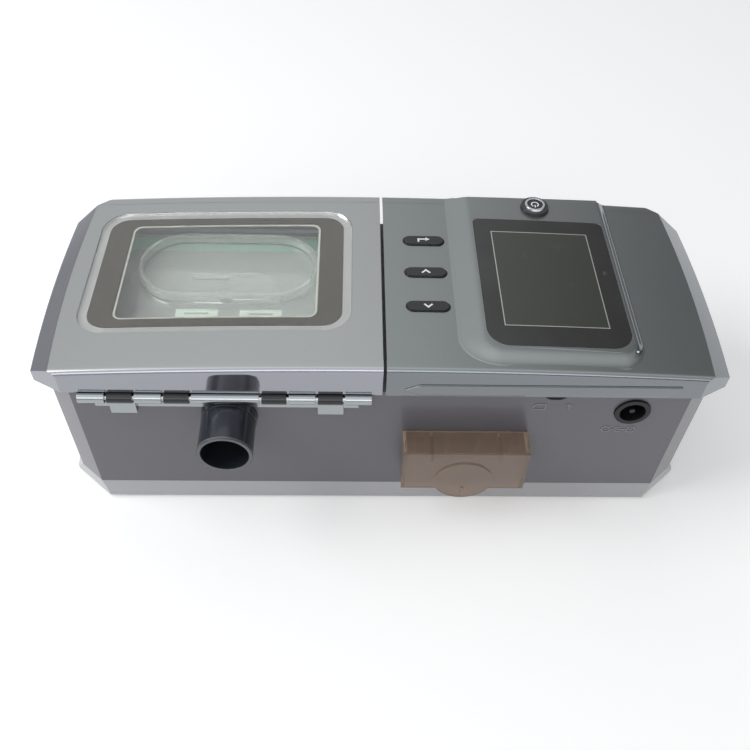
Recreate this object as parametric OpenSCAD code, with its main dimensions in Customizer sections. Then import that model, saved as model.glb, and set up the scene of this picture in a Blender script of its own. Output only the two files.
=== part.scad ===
// Bedside breathing-air machine with a heated humidifier.
// Millimetres. +Z is up, the user's side faces -Y, the humidifier is at +X and the display at -X.
// The origin lies under the middle of the whole machine, on the surface that the feet stand on. The sizes
// and places below are measured from the middle of the body, which lies half the tube's reach behind it.

/* [Body] */
// Overall length of the body
body_l = 279; // [274:1:290]
// Overall depth of the body, front to back
body_d = 107; // [105:1:116]
// Height of the crown of the top
body_h = 89; // [88.5:0.1:92]
// How far the seam between the lower housing and the top lies below the crown
seam_down = 14.8; // [14.2:0.1:15.2]
// Wall thickness of the mouldings
wall = 2.2; // [1.9:0.1:2.4]
// How far the middle of each end bulges out
end_bow = 2.3; // [1.5:0.1:3.5]
// How much lower the top is at the ends than in the middle
crown_drop = 4.6; // [3.8:0.1:5]
// Rounding of the long top edges
edge_r = 2.4; // [1.5:0.1:3.5]
// Length of the sloping facet at each end of the top
bevel_run = 9; // [7:0.5:11]
// Height lost over that facet
bevel_drop = 5.8; // [5:0.1:6.5]
// Height of the lower edge of that facet above the seam
bevel_up = 5.4; // [4.3:0.1:6.3]
// Gap between the lid and the top cover
top_gap = 1.3; // [1:0.1:2]
// Cut corner of the top at the back, along the length
rear_cut_x = 13.5; // [11:0.5:16]
// Cut corner of the top at the back, along the depth
rear_cut_y = 7.2; // [6:0.2:9]
// Cut corner of the top at the front, along the length
front_cut_x = 18; // [15:0.5:20]
// Cut corner of the top at the front, along the depth
front_cut_y = 12.4; // [10:0.2:14]

/* [Housing] */
// Cut corner of the lower housing and the tray, along the length
base_cut_x = 18; // [16:0.5:20]
// Cut corner of the lower housing and the tray, along the depth
base_cut_y = 15.5; // [14:0.5:17]
// How far the lower housing stands back at the ends
recess_x = 4; // [3:0.2:4.6]
// How far the lower housing stands back at the front and the back
recess_y = 2; // [1.6:0.1:2.2]
// Height of the waist, where the tray's skirt starts to flare
waist_z = 10; // [9:0.5:11]
// Height of the upright part of the tray's skirt
skirt_z = 4; // [3:0.2:5]
// Thickness of the tray's floor
tray_t = 2.2; // [1.8:0.1:2.6]
// How far the feet hold the tray off the table
foot_h = 1.5; // [1:0.1:2.5]
// Radius of a rubber foot
foot_r = 6.5; // [5:0.5:8]
// Distance of the feet from the ends of the body
foot_end = 31.5; // [27.5:0.5:39.5]
// Distance of the feet from the front and the back of the body
foot_side = 22.5; // [20.5:0.5:27.5]
// Height of the humidifier bay's floor
bay_z = 17; // [16.5:0.1:17.4]
// Thickness of the partition and of the bay's floor
inner_t = 2; // [1.6:0.1:2.4]

/* [Lid window] */
// Room between the window and the middle of the body
window_in = 13.1; // [12:0.1:14.5]
// Room between the window and the end of the body
window_end = 15.8; // [15:0.1:17]
// Centre of the window from the middle of the depth
window_y = -4.5; // [-6:0.1:-3]
// Width of the window's dark border, front to back
border_w = 66.7; // [64:0.1:70]
// Corner radius of the dark border
border_r = 8; // [6:0.5:10]
// Clear rim outside the dark border
window_rim = 3.7; // [2.5:0.1:4.5]
// Width of the border at its short ends
border_ends = 10.1; // [8.6:0.1:11.6]
// Width of the border along its long sides
border_sides = 4.35; // [3.35:0.05:5.35]
// Corner radius of the clear pane inside the border
pane_r = 4; // [2:0.5:6]
// Thickness of the window
window_t = 1.8; // [1.4:0.1:2]
// Depth of the border layer's pocket in the window's underside
border_t = 0.4; // [0.3:0.05:0.6]
// How deep the window lies below the lid's surface
window_drop = 0.2; // [0.1:0.05:0.4]

/* [Display] */
// Centre of the display lens from the middle of the body
lens_x = -69.8; // [-70.6:0.1:-69]
// Distance of the display lens from the front of the body
lens_in = 17.7; // [16.7:0.1:18.1]
// Length of the lens, along the body
lens_l = 58.3; // [57:0.1:60]
// Width of the lens, front to back
lens_w = 76.8; // [75:0.1:78]
// Corner radius of the lens at the back
lens_rear_r = 9; // [7:0.5:10]
// Corner radius of the lens at the front
lens_front_r = 3; // [2:0.5:5]
// Thickness of the lens
lens_t = 1.4; // [1.2:0.1:1.6]
// Height of the raised surround above the top
surround_h = 2; // [1.6:0.1:2.4]
// Width of the surround's long slope, on the buttons' side
slope_in = 4.5; // [3.5:0.5:6]
// Width of the surround's short slope, on the end's side
slope_out = 2.2; // [1.8:0.1:3]
// Width of the surround's slope at the back
slope_rear = 3.2; // [2.6:0.1:4]
// Rounding of the surround's back corners
surround_r = 18; // [16:0.5:18.5]
// Margin of the surround's flat top round the lens
lens_margin = 1; // [0.6:0.1:1.5]
// Length of the display module
lcd_l = 50; // [48:0.5:52]
// Width of the display module
lcd_w = 69; // [66:0.5:70]
// Thickness of the display module
lcd_t = 6; // [5:0.1:6.2]

/* [Buttons] */
// Place of the button row from the middle of the body
button_x = -18.2; // [-18.5:0.1:-17.5]
// Place of the middle button from the middle of the depth
button_y = -1.6; // [-3:0.1:0]
// Distance between buttons
button_pitch = 20.25; // [19:0.25:22]
// Length of a button
button_l = 17.8; // [16:0.1:18.2]
// Width of a button
button_w = 6; // [5:0.1:7]
// How far a button stands above the cover
button_proud = 0.7; // [0.4:0.1:1]
// Travel of a button
button_travel = 1; // [0.8:0.1:1.2]
// Gap round a button
button_gap = 0.25; // [0.15:0.05:0.4]
// Distance of the power button from the front edge
power_in = 8.9; // [8.4:0.1:9.3]
// Outer radius of the power button's chrome ring
power_ring_r = 4.75; // [4.5:0.05:4.9]
// Radius of the power button's cap
power_r = 3.3; // [3:0.1:3.5]
// Height of the power button's collar above the surround
power_collar_h = 1.6; // [1.2:0.1:2]

/* [Air path] */
// Outer radius of the outlet tube, for a 22 mm hose
tube_r = 11; // [10.8:0.05:11.2]
// Wall of the outlet tube
tube_wall = 1.5; // [1.2:0.1:1.8]
// How far the outlet tube's axis lies below the seam
tube_down = 15.7; // [15.2:0.1:16.2]
// How far the outlet tube stands out past the band
tube_out = 18.2; // [16:0.2:20]
// Width of the filter cover
filter_l = 52.5; // [50:0.5:55]
// Height of the filter cover's outer face
filter_h = 24.5; // [23:0.5:26]
// How far the filter cover stands out of the back wall
filter_out = 12.5; // [11:0.5:14]
// Wall of the filter cover
filter_wall = 1.6; // [1.4:0.1:2]
// Centre of the filter cover from the middle of the body
filter_x = -35; // [-36:0.5:-34]
// How far the filter cover's lower edge lies below the seam
filter_down = 49.8; // [49.2:0.2:51.2]
// Length of the air intake
intake_l = 40; // [36:1:42]
// Height of the air intake
intake_h = 14; // [12:0.5:15]
// Thickness of the filter foam
foam_t = 6; // [5:0.5:7]
// Outer radius of the blower's volute
volute_r = 32; // [30:0.5:33]
// Radius of the impeller
impeller_r = 24; // [20:0.5:25]
// Number of impeller blades
blade_count = 9; // [7:1:11]
// Radius of the motor shaft
shaft_r = 1.5; // [1.2:0.1:2]
// Radius of the motor can
motor_r = 16; // [14:0.5:17]
// Outer radius of the blower's nozzle
nozzle_r = 9; // [8:0.1:9.2]
// Bend radius of the outlet duct
bend_r = 12.5; // [12.1:0.1:12.8]
// How far the air port into the tank lies below the seam
port_down = 20.2; // [19:0.2:22]

/* [Hinge] */
// Outer radius of a hinge knuckle
knuckle_r = 2.3; // [2:0.1:2.4]
// Radius of the hinge pin
pin_r = 1.1; // [0.9:0.05:1.2]
// How far the hinge axis lies outside the band
axis_out = 0.5; // [0.4:0.1:0.9]
// How far the hinge axis lies below the seam
axis_down = 2.2; // [2.1:0.05:2.4]
// Half length of the middle knuckle
knuckle_mid = 13.2; // [12:0.1:14]
// Length of a lid arm
arm_l = 9.7; // [9:0.1:10]
// Room between the hinge and the middle of the body
hinge_in = 4.8; // [4.2:0.1:5.4]
// Room between the hinge and the end of the body
hinge_end = 19.9; // [19:0.1:21]
// Side gap between knuckles and arms
knuckle_gap = 1; // [0.6:0.05:1.1]

/* [Tank] */
// Room between the water tank and the end wall of the housing
tank_end = 9.3; // [7.3:0.1:15.3]
// Width of the water tank, front to back
tank_w = 61; // [58:0.5:63]
// Distance of the tank from the middle of the body
tank_x0 = 6; // [5.6:0.1:7]
// How far the tub's rim lies below the seam
tub_down = 5.2; // [4.8:0.1:5.7]
// Wall of the tank
tank_wall = 2; // [1.8:0.1:2.4]
// Free lift of the tank under the closed lid
tank_lift = 1; // [0.5:0.1:1.2]
// Length of the raised rim on the tank's lid
dome_l = 80; // [76:1:82]
// Width of the raised rim on the tank's lid
dome_w = 41; // [38:1:42]
// Height of the raised rim on the tank's lid
dome_h = 4.8; // [4:0.1:5]
// Length of the heater plate
heater_l = 66; // [60:1:70]
// Width of the heater plate
heater_w = 42; // [38:1:44]
// Travel of the heater plate on its springs
heater_travel = 1.2; // [0.8:0.1:1.5]

/* [Electronics] */
// Distance of the DC inlet from the end of the body
jack_end = 37.6; // [36.5:0.1:39.5]
// How far the DC inlet lies below the seam
jack_down = 11.4; // [10.7:0.1:12.2]
// Outer radius of the DC inlet
jack_r = 7.3; // [7:0.1:7.5]
// Radius of the DC inlet's socket
jack_bore_r = 5.3; // [5:0.1:5.6]
// Depth of the DC inlet's socket
jack_depth = 9.5; // [8:0.5:10]
// Distance of the card notch from the end of the body
card_end = 70.3; // [69.5:0.1:71.5]
// Half width of the card notch
card_half = 5.2; // [4.8:0.1:5.6]
// Depth of the card notch below the rim
card_deep = 4.2; // [3.8:0.1:4.6]
// Thickness of the circuit boards
board_t = 1.6; // [1:0.1:1.8]
// How far the main board's top lies below the seam
board_down = 18.2; // [17.9:0.1:18.6]

/* [Hidden] */

// Clearances and small shared sizes
slack = 0.1;
run_gap = 0.3;
shaft_gap = 0.05;
print_gap = 0.06;
eps = 1;
fine = 96;
round_n = 48;
screw_r = 1.5;
screw_head_r = 2.8;
screw_head_h = 1.6;
boss_r = 3.6;

// Body
half_l = body_l / 2;
half_d = body_d / 2;
seam_z = body_h - seam_down;
bevel_z = seam_z + bevel_up;
foot_x = half_l - foot_end;
foot_y = half_d - foot_side;
bow_r = (half_d * half_d + end_bow * end_bow) / (2 * end_bow);
crown_r = (half_l * half_l + crown_drop * crown_drop) / (2 * crown_drop);
bevel_k = bevel_run / bevel_drop;
bevel_n = sqrt(1 + bevel_k * bevel_k);
rim_z = seam_z - run_gap;
top_cuts = [rear_cut_x, rear_cut_y, front_cut_x, front_cut_y];
base_cuts = [base_cut_x, base_cut_y, base_cut_x, base_cut_y];
floor_z = foot_h + tray_t;
wall_y = half_d - recess_y;
wall_in_y = wall_y - wall;
end_in_x = half_l - recess_x - wall;

// Places that follow from the body's edges and the seam
border_l = half_l - window_end - window_in - 2 * window_rim;
window_x = (half_l - window_end + window_in) / 2;
pane_l = border_l - 2 * border_ends;
pane_w = border_w - 2 * border_sides;
lens_y = lens_in + lens_w / 2 - half_d;
tube_x = (half_l - hinge_end + hinge_in) / 2;
tube_z = seam_z - tube_down;
rail_half = (half_l - hinge_end - hinge_in) / 2;
knuckle_l = (rail_half - knuckle_mid - 4 * knuckle_gap - 2 * arm_l) / 2;
filter_z = seam_z - filter_down;
tank_l = end_in_x - tank_x0 - tank_end;
jack_x = jack_end - half_l;
jack_z = seam_z - jack_down;
card_x = card_end - half_l;
board_z = seam_z - board_down;

// Move a piece from the body's own middle to the middle of the whole machine
module at_origin() {
  translate([0, -tube_out / 2, 0])
    children();
}

// Height of the crowned top at a place along the body
function crown_z(x) = body_h - crown_r + sqrt(crown_r * crown_r - x * x);

// Length of a cut corner's leg once the cut lies deeper by c
function leg(a, b, c) = a + c * norm([a, b]) / b;

// Octagon with cut corners, reaching past the straight sides by m
module cut_outline(cuts, c, m) {
  ra = leg(cuts[0], cuts[1], c);
  rb = leg(cuts[1], cuts[0], c);
  fa = leg(cuts[2], cuts[3], c);
  fb = leg(cuts[3], cuts[2], c);
  right = [
    [half_l - ra - m * ra / rb, half_d + m],
    [half_l + m, half_d - rb - m * rb / ra],
    [half_l + m, -half_d + fb + m * fb / fa],
    [half_l - fa - m * fa / fb, -half_d - m]
  ];
  left = [for (i = [3:-1:0]) [-right[i][0], right[i][1]]];
  polygon(concat(right, left));
}

// Solid between two heights: inset0 and inset1 are [end, front and back] insets at the bottom and the top
module body_prism(z0, z1, inset0, inset1, cuts, c) {
  y0 = half_d - inset0[1];
  y1 = half_d - inset1[1];
  intersection() {
    translate([0, 0, z0])
      linear_extrude(z1 - z0)
        cut_outline(cuts, c, 4);
    rotate([90, 0, 90])
      linear_extrude(body_l + 2 * eps, center = true)
        polygon([[-y0, z0], [y0, z0], [y1, z1], [-y1, z1]]);
    for_end(z0)
      cylinder(h = z1 - z0, r1 = bow_r - inset0[0], r2 = bow_r - inset1[0], $fn = 360);
    mirror([1, 0, 0])
      for_end(z0)
        cylinder(h = z1 - z0, r1 = bow_r - inset0[0], r2 = bow_r - inset1[0], $fn = 360);
  }
}

// Place something on the axis of the +X end's bulge
module for_end(z) {
  translate([half_l - bow_r, 0, z])
    children();
}

// Everything below the crowned top, less a depth t
module under_crown(t) {
  translate([0, 0, body_h - crown_r])
    rotate([90, 0, 0])
      cylinder(h = body_d + 20, r = crown_r - t, center = true, $fn = 1440);
}

// The crowned top with its long edges rounded, as a piece of a wheel on a Y axis
module crown_wheel(c) {
  sweep = 11;
  deep = 40;
  r = max(edge_r - c, 0.4);
  out = crown_r - c;
  y = half_d - c;
  translate([0, 0, body_h - crown_r])
    rotate([90, 0, 0])
      rotate([0, 0, 90 - sweep / 2])
        rotate_extrude(angle = sweep, $fn = 1440)
          union() {
            translate([out - deep, -y])
              square([deep - r, 2 * y]);
            translate([out - deep, -y + r])
              square([deep, 2 * (y - r)]);
            for (s = [-1, 1])
              translate([out - r, s * (y - r)])
                circle(r, $fn = round_n);
          }
}

// Outer form of the two tops, made smaller by c, from height z0 up
module top_form(c, z0) {
  z1 = body_h + eps;
  r0 = bow_r - c * bevel_n + bevel_k * (bevel_z - z0);
  r1 = bow_r - c * bevel_n - bevel_k * (z1 - bevel_z);
  intersection() {
    body_prism(z0, z1, [c, c], [c, c], top_cuts, c);
    for_end(z0)
      cylinder(h = z1 - z0, r1 = r0, r2 = r1, $fn = 360);
    mirror([1, 0, 0])
      for_end(z0)
        cylinder(h = z1 - z0, r1 = r0, r2 = r1, $fn = 360);
    crown_wheel(c);
  }
}

// Half of space on one side of the middle: side 1 is the humidifier, side -1 the display
module half_space(side, from) {
  z = 200;
  scale_x = side > 0 ? from : -from - body_l;
  translate([scale_x, -body_d, -z / 2])
    cube([body_l, 2 * body_d, 2 * z]);
}

// Rectangle with round corners
module round_rect(l, w, r) {
  square([l - 2 * r, w], center = true);
  square([l, w - 2 * r], center = true);
  for (sx = [-1, 1])
    for (sy = [-1, 1])
      translate([sx * (l / 2 - r), sy * (w / 2 - r)])
        circle(r, $fn = round_n);
}

// Upright slab with round corners between two heights
module slab(l, w, r, z0, z1) {
  translate([0, 0, z0])
    linear_extrude(z1 - z0)
      round_rect(l, w, r);
}

// Box given by its low and high corners
module box(lo, hi) {
  translate(lo)
    cube(hi - lo);
}

// Pill-shaped slab, long along X
module pill(l, w, z0, z1) {
  translate([0, 0, z0])
    linear_extrude(z1 - z0)
      union() {
        square([l - w, w], center = true);
        for (s = [-1, 1])
          translate([s * (l - w) / 2, 0])
            circle(w / 2, $fn = round_n);
      }
}

// Screw that points up, with its head at height z
module screw(z, length) {
  translate([0, 0, z]) {
    difference() {
      cylinder(h = screw_head_h, r = screw_head_r, $fn = round_n);
      translate([0, 0, -eps])
        cylinder(h = eps + screw_head_h * 0.6, r = screw_r * 0.75, $fn = 6);
    }
    translate([0, 0, screw_head_h])
      cylinder(h = length, r = screw_r, $fn = round_n);
  }
}

// Cylinder along Y from y0 to y1
module rod_y(y0, y1, r) {
  translate([0, y0, 0])
    rotate([-90, 0, 0])
      cylinder(h = y1 - y0, r = r, $fn = fine);
}

// Cylinder along X from x0 to x1
module rod_x(x0, x1, r) {
  translate([x0, 0, 0])
    rotate([0, 90, 0])
      cylinder(h = x1 - x0, r = r, $fn = fine);
}

// --- Base -------------------------------------------------------------------------------------------

base_screw_side = 10.5;
base_screw_y = half_d - base_screw_side;
base_screw_xs = [27.5 - half_l, -8, 14, half_l - 21.5];
housing_boss_z = waist_z + 12;
web_half = boss_r - 0.8;
weld = 0.3;
base_screw_top = bay_z - inner_t - 0.5;

// Places of the screws that hold the tray to the lower housing
module at_base_screws() {
  for (x = base_screw_xs)
    for (s = [-1, 1])
      translate([x, s * base_screw_y, 0])
        children();
}

// Places of the feet
module at_feet() {
  for (sx = [-1, 1])
    for (sy = [-1, 1])
      translate([sx * foot_x, sy * foot_y, 0])
        children();
}

foot_seat = 0.8;

module base_tray() {
  lip = recess_y + wall;
  at_origin() color([0.66, 0.66, 0.70])
  difference() {
    union() {
      difference() {
        union() {
          body_prism(foot_h, skirt_z, [0, 0], [0, 0], base_cuts, 0);
          body_prism(skirt_z, waist_z, [0, 0], [recess_x, recess_y], base_cuts, 0);
        }
        body_prism(floor_z, waist_z + eps, [recess_x + wall, lip], [recess_x + wall, lip], base_cuts, wall);
      }
      at_base_screws()
        cylinder(h = waist_z - foot_h, r = boss_r, $fn = round_n);
      at_board_posts()
        translate([0, 0, foot_h])
          cylinder(h = board_z - board_t - foot_h, r = post_r, $fn = round_n);
    }
    at_base_screws() {
      translate([0, 0, -eps])
        cylinder(h = eps + foot_h + screw_head_h + 0.4, r = screw_head_r + 0.3, $fn = round_n);
      cylinder(h = waist_z + eps, r = screw_r + slack, $fn = round_n);
    }
    at_board_posts()
      translate([0, 0, board_z - board_t - 8])
        cylinder(h = 9, r = screw_r, $fn = round_n);
    at_feet()
      translate([0, 0, foot_h - eps])
        cylinder(h = eps + foot_seat, r = foot_r + slack, $fn = round_n);
    translate([0, 0, -eps])
      cylinder(h = foot_h + eps, r = 1, $fn = round_n);
  }
}

module feet() {
  at_origin() color([0.10, 0.10, 0.11])
  at_feet()
    cylinder(h = foot_h + foot_seat, r = foot_r, $fn = round_n);
}

module base_screws() {
  at_origin() color([0.60, 0.61, 0.63])
  at_base_screws()
    screw(foot_h + 0.4, base_screw_top - foot_h - 0.4 - screw_head_h);
}

// --- Lower housing ----------------------------------------------------------------------------------

partition_x = 1.1;
hinge_y = half_d + axis_out;
hinge_z = seam_z - axis_down;
arm_z0 = hinge_z - 1.6;
arm_t = 2.1;
port_z = seam_z - port_down;
nozzle_z = 29;
nozzle_run = 6;
duct_run = 12;
duct_rise = port_z - nozzle_z;
duct_turn = acos(max(0, 1 - duct_rise / (2 * bend_r)));
duct_step = 2 * bend_r * sin(duct_turn);
bend_x = -partition_x - duct_step - duct_run;
volute_gap = 9.3;
volute_x = (bend_x - end_in_x - nozzle_run) / 2 + 0.7;
volute_y = volute_r + volute_gap - wall_in_y;
post_r = 3;
post_side = 9;
board_post_y = half_d - post_side;
board_x0 = 12.5 - half_l;
board_x1 = board_x0 + 64.5;
board_post_xs = [board_x0 + 5, board_x0 + 45];
board_half_y = board_post_y + 3;
intake_z = filter_z + filter_h / 2;
port_y = volute_y - (volute_r - nozzle_r + 1);
port_r = 7.5;
port_boss_r = port_r + 2;
heater_x = tank_x0 + tank_l / 2;
tank_y = tank_w / 2 - wall_in_y + 3.8;
heater_y = tank_y;
bay_back_y = tank_y + tank_w / 2 + 3.5;
shelf_z = rim_z - inner_t - run_gap;
cover_screw_xs = [17.5 - half_l, -10];
cover_screw_y = half_d - post_side;

// Middle of each lid arm, from the hinge's middle
arm_mids = [
  knuckle_mid + knuckle_gap + arm_l / 2,
  knuckle_mid + 3 * knuckle_gap + 1.5 * arm_l + knuckle_l
];

// Places of the four lid arms along the hinge
module at_arms() {
  for (m = arm_mids)
    for (s = [-1, 1])
      translate([tube_x + s * m, 0, 0])
        children();
}

// Places of the two clips that hold the filter cover
module at_filter_clips() {
  for (s = [-1, 1])
    translate([filter_x + s * (filter_l / 2 - filter_wall - clip_w / 2 + slack), 0, intake_z])
      children();
}

// Places of the posts under the main board
module at_board_posts() {
  for (x = board_post_xs)
    for (s = [-1, 1])
      translate([x, s * board_post_y, 0])
        children();
}

// Places of the screws that hold the top cover down
module at_cover_screws() {
  for (x = cover_screw_xs)
    for (s = [-1, 1])
      translate([x, s * cover_screw_y, 0])
        children();
}

module housing_hollow() {
  inset = [recess_x + wall, recess_y + wall];
  intersection() {
    body_prism(bay_z, rim_z + eps, inset, inset, base_cuts, wall);
    half_space(1, partition_x);
  }
  intersection() {
    body_prism(waist_z - eps, bay_z - inner_t, inset, inset, base_cuts, wall);
    half_space(1, partition_x);
  }
  intersection() {
    body_prism(waist_z - eps, rim_z + eps, inset, inset, base_cuts, wall);
    half_space(-1, partition_x);
  }
}

module lower_housing() {
  inset = [recess_x, recess_y];
  at_origin() color([0.42, 0.41, 0.45])
  difference() {
    union() {
      difference() {
        body_prism(waist_z, rim_z, inset, inset, base_cuts, 0);
        housing_hollow();
      }
      // bosses for the tray's screws
      at_base_screws()
        translate([0, 0, waist_z])
          cylinder(h = bay_z - waist_z - 0.5, r = boss_r, $fn = round_n);
      for (x = [base_screw_xs[0], base_screw_xs[1]])
        for (s = [-1, 1])
          box([x - web_half, min(s * base_screw_y, s * (wall_in_y + weld)), waist_z],
              [x + web_half, max(s * base_screw_y, s * (wall_in_y + weld)), housing_boss_z]);
      // ledges that the top cover's screws go through
      for (x = cover_screw_xs)
        for (s = [-1, 1])
          box([x - boss_r, min(s * (cover_screw_y - boss_r), s * (wall_in_y + weld)), rim_z - 4],
              [x + boss_r, max(s * (cover_screw_y - boss_r), s * (wall_in_y + weld)), rim_z]);
      // back wall of the tank's bay and the shelf behind it
      intersection() {
        union() {
          box([partition_x - 0.01, bay_back_y, bay_z - 0.01], [half_l, bay_back_y + inner_t, shelf_z + inner_t]);
          box([partition_x - 0.01, bay_back_y, shelf_z], [half_l, wall_y, shelf_z + inner_t]);
        }
        body_prism(waist_z, rim_z, inset + [0.1, 0.1], inset + [0.1, 0.1], base_cuts, wall / 2);
      }
      // frame round the filter foam, inside the back wall
      difference() {
        box([filter_x - intake_l / 2 - wall, wall_in_y - foam_t, intake_z - intake_h / 2 - wall],
            [filter_x + intake_l / 2 + wall, wall_in_y + weld, intake_z + intake_h / 2 + wall]);
        box([filter_x - intake_l / 2, wall_in_y - foam_t - eps, intake_z - intake_h / 2],
            [filter_x + intake_l / 2, wall_in_y + eps, intake_z + intake_h / 2]);
      }
    }
    // screw holes
    at_base_screws()
      cylinder(h = base_screw_top + 0.4, r = screw_r, $fn = round_n);
    at_cover_screws()
      translate([0, 0, rim_z - 5])
        cylinder(h = 6, r = screw_r + slack, $fn = round_n);
    // outlet tube
    translate([tube_x, 0, tube_z])
      rod_y(wall_in_y - eps, wall_y + eps, tube_r + 0.25 + slack);
    translate([tube_x, 0, tube_z])
      rod_y(bay_back_y - eps, bay_back_y + inner_t + eps, pipe_r + slack);
    // air port in the partition
    translate([0, port_y, port_z])
      rod_x(-partition_x - eps, partition_x + eps, port_r);
    // air intake, with two bars left standing
    difference() {
      box([filter_x - intake_l / 2, wall_in_y - eps, intake_z - intake_h / 2],
          [filter_x + intake_l / 2, wall_y + eps, intake_z + intake_h / 2]);
      for (s = [-1, 1])
        translate([filter_x + s * intake_l / 6, 0, intake_z])
          box([-0.8, wall_in_y, -intake_h], [0.8, wall_y, intake_h]);
    }
    at_filter_clips()
      box([-clip_w / 2 - slack, wall_in_y - eps, -clip_h / 2 - slack],
          [clip_w / 2 + slack, wall_y + eps, clip_h / 2 + slack]);
    // DC inlet
    translate([jack_x, 0, jack_z])
      rod_y(wall_in_y - eps, wall_y + eps, jack_r + slack);
    // card notch, a half oval below the rim
    for (s = [-1, 1])
      translate([card_x + s * (card_half - card_deep), 0, rim_z])
        rod_y(wall_in_y - eps, wall_y + eps, card_deep);
    box([card_x - card_half + card_deep, wall_in_y - eps, rim_z - card_deep],
        [card_x + card_half - card_deep, wall_y + eps, rim_z + eps]);
    // notches for the lid arms
    at_arms()
      box([-arm_l / 2 - knuckle_gap / 2, wall_in_y - eps, arm_z0 - 1.2],
          [arm_l / 2 + knuckle_gap / 2, wall_y + eps, rim_z + eps]);
    // opening over the heater
    translate([heater_x, heater_y, 0])
      slab(heater_l + 1, heater_w + 1, 6, bay_z - inner_t - eps, bay_z + eps);
  }
}

// --- Top cover --------------------------------------------------------------------------------------

power_x = lens_x;
power_y = -half_d + power_in;
top_in_z = crown_z(button_x) - wall;

// Outline of the lens, grown by g
module lens_outline(g) {
  translate([lens_x, lens_y]) {
    round_rect(lens_l + 2 * g, lens_w + 2 * g, lens_rear_r + g);
    translate([0, -lens_w / 4])
      round_rect(lens_l + 2 * g, lens_w / 2 + 2 * g, lens_front_r + g);
  }
}

// Raised surround of the display: sloping sides, open to the front edge
module surround() {
  x_in = lens_x + lens_l / 2 + lens_margin;
  x_out = lens_x - lens_l / 2 - lens_margin;
  y_back = lens_y + lens_w / 2 + lens_margin;
  z_top = body_h + surround_h;
  z_low = crown_z(x_out) - 0.5;
  z_in = crown_z(x_in + slope_in);
  l = x_in - x_out + slope_in + slope_out;
  intersection() {
    // sides
    translate([0, half_d, 0])
      rotate([90, 0, 0])
        linear_extrude(body_d)
          polygon([
            [x_out - slope_out, z_low - 6], [x_out - slope_out, z_low], [x_out, crown_z(x_out) + surround_h],
            [x_out, z_top], [x_in, z_top], [x_in, crown_z(x_in) + surround_h],
            [x_in + slope_in, z_in - 0.05], [x_in + slope_in, z_low - 6]
          ]);
    // back
    rotate([90, 0, 90])
      linear_extrude(body_l, center = true)
        polygon([
          [-half_d, z_low - 6], [-half_d, body_h - edge_r], [-half_d + edge_r, z_top],
          [y_back, z_top], [y_back, body_h + surround_h * 0.6], [y_back + slope_rear, z_low],
          [y_back + slope_rear, z_low - 6]
        ]);
    // corners at the back
    translate([(x_in + slope_in + x_out - slope_out) / 2, y_back + slope_rear - body_d / 2, 0])
      slab(l, body_d, surround_r, z_low - 6, z_top);
    under_crown(-surround_h);
    body_prism(z_low - 6, z_top, [0, 0], [0, 0], top_cuts, 0);
  }
}

module at_buttons() {
  for (i = [-1, 0, 1])
    translate([button_x, button_y + i * button_pitch, 0])
      children();
}

control_z = top_in_z - 6.7;
at_control_xs = [lens_x - lens_l / 2 - 5.05, -6];
at_control_y = cover_screw_y - 6.5;
control_back = 10.5;
rib_proud = 0.6;

module at_control_screws() {
  for (x = at_control_xs)
    for (s = [-1, 1])
      translate([x, s * at_control_y, 0])
        children();
}

// Raised rib on the back band, pointed toward the middle and slanted toward the end
module band_rib() {
  z0 = seam_z + 0.8;
  z1 = bevel_z + 0.9;
  translate([0, half_d + rib_proud, 0])
    rotate([90, 0, 0])
      linear_extrude(rib_proud + wall / 2)
        polygon([[-8, (z0 + z1) / 2], [-14, z0], [27.5 - half_l, z0], [22.5 - half_l, z1], [-14, z1]]);
}

module top_cover() {
  at_origin() color([0.50, 0.51, 0.54])
  difference() {
    union() {
      difference() {
        union() {
          intersection() {
            top_form(0, rim_z);
            half_space(-1, top_gap / 2);
          }
          surround();
          band_rib();
        }
        intersection() {
          top_form(wall, rim_z - eps);
          half_space(-1, top_gap / 2 + wall);
        }
      }
      intersection() {
        union() {
          at_cover_screws()
            translate([0, 0, rim_z])
              cylinder(h = 20, r = boss_r, $fn = round_n);
          at_control_screws()
            translate([0, 0, control_z])
              cylinder(h = 20, r = boss_r, $fn = round_n);
        }
        top_form(wall / 2, rim_z);
      }
    }
    at_cover_screws()
      translate([0, 0, rim_z - eps])
        cylinder(h = 8, r = screw_r, $fn = round_n);
    at_control_screws()
      translate([0, 0, control_z - eps])
        cylinder(h = 4.5, r = screw_r, $fn = round_n);
    // pocket of the lens
    difference() {
      translate([0, 0, body_h - 12])
        linear_extrude(20)
          lens_outline(slack);
      under_crown(lens_t - surround_h);
    }
    // opening over the display module
    translate([lens_x, lens_y, 0])
      slab(lcd_l + 1, lcd_w + 1, 1.5, rim_z, body_h + 5);
    // buttons
    at_buttons()
      pill(button_l + 2 * button_gap, button_w + 2 * button_gap, rim_z, body_h + 5);
    translate([power_x, power_y, rim_z])
      cylinder(h = 30, r = power_r + button_gap, $fn = fine);
    translate([power_x, power_y, power_face - collar_seat])
      cylinder(h = 30, r = collar_r + slack / 2, $fn = fine);
  }
}

module cover_screws() {
  at_origin() color([0.60, 0.61, 0.63])
  at_cover_screws()
    screw(rim_z - 4 - screw_head_h, 8);
}

module display_lens() {
  at_origin() color([0.05, 0.05, 0.06])
  difference() {
    intersection() {
      translate([0, 0, body_h - 12])
        linear_extrude(20)
          lens_outline(0);
      under_crown(-surround_h);
    }
    under_crown(lens_t - surround_h);
  }
}

module lcd_module() {
  at_origin() color([0.16, 0.17, 0.18])
  translate([lens_x, lens_y, 0])
    slab(lcd_l, lcd_w, 1, control_z, control_z + lcd_t);
}

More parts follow.
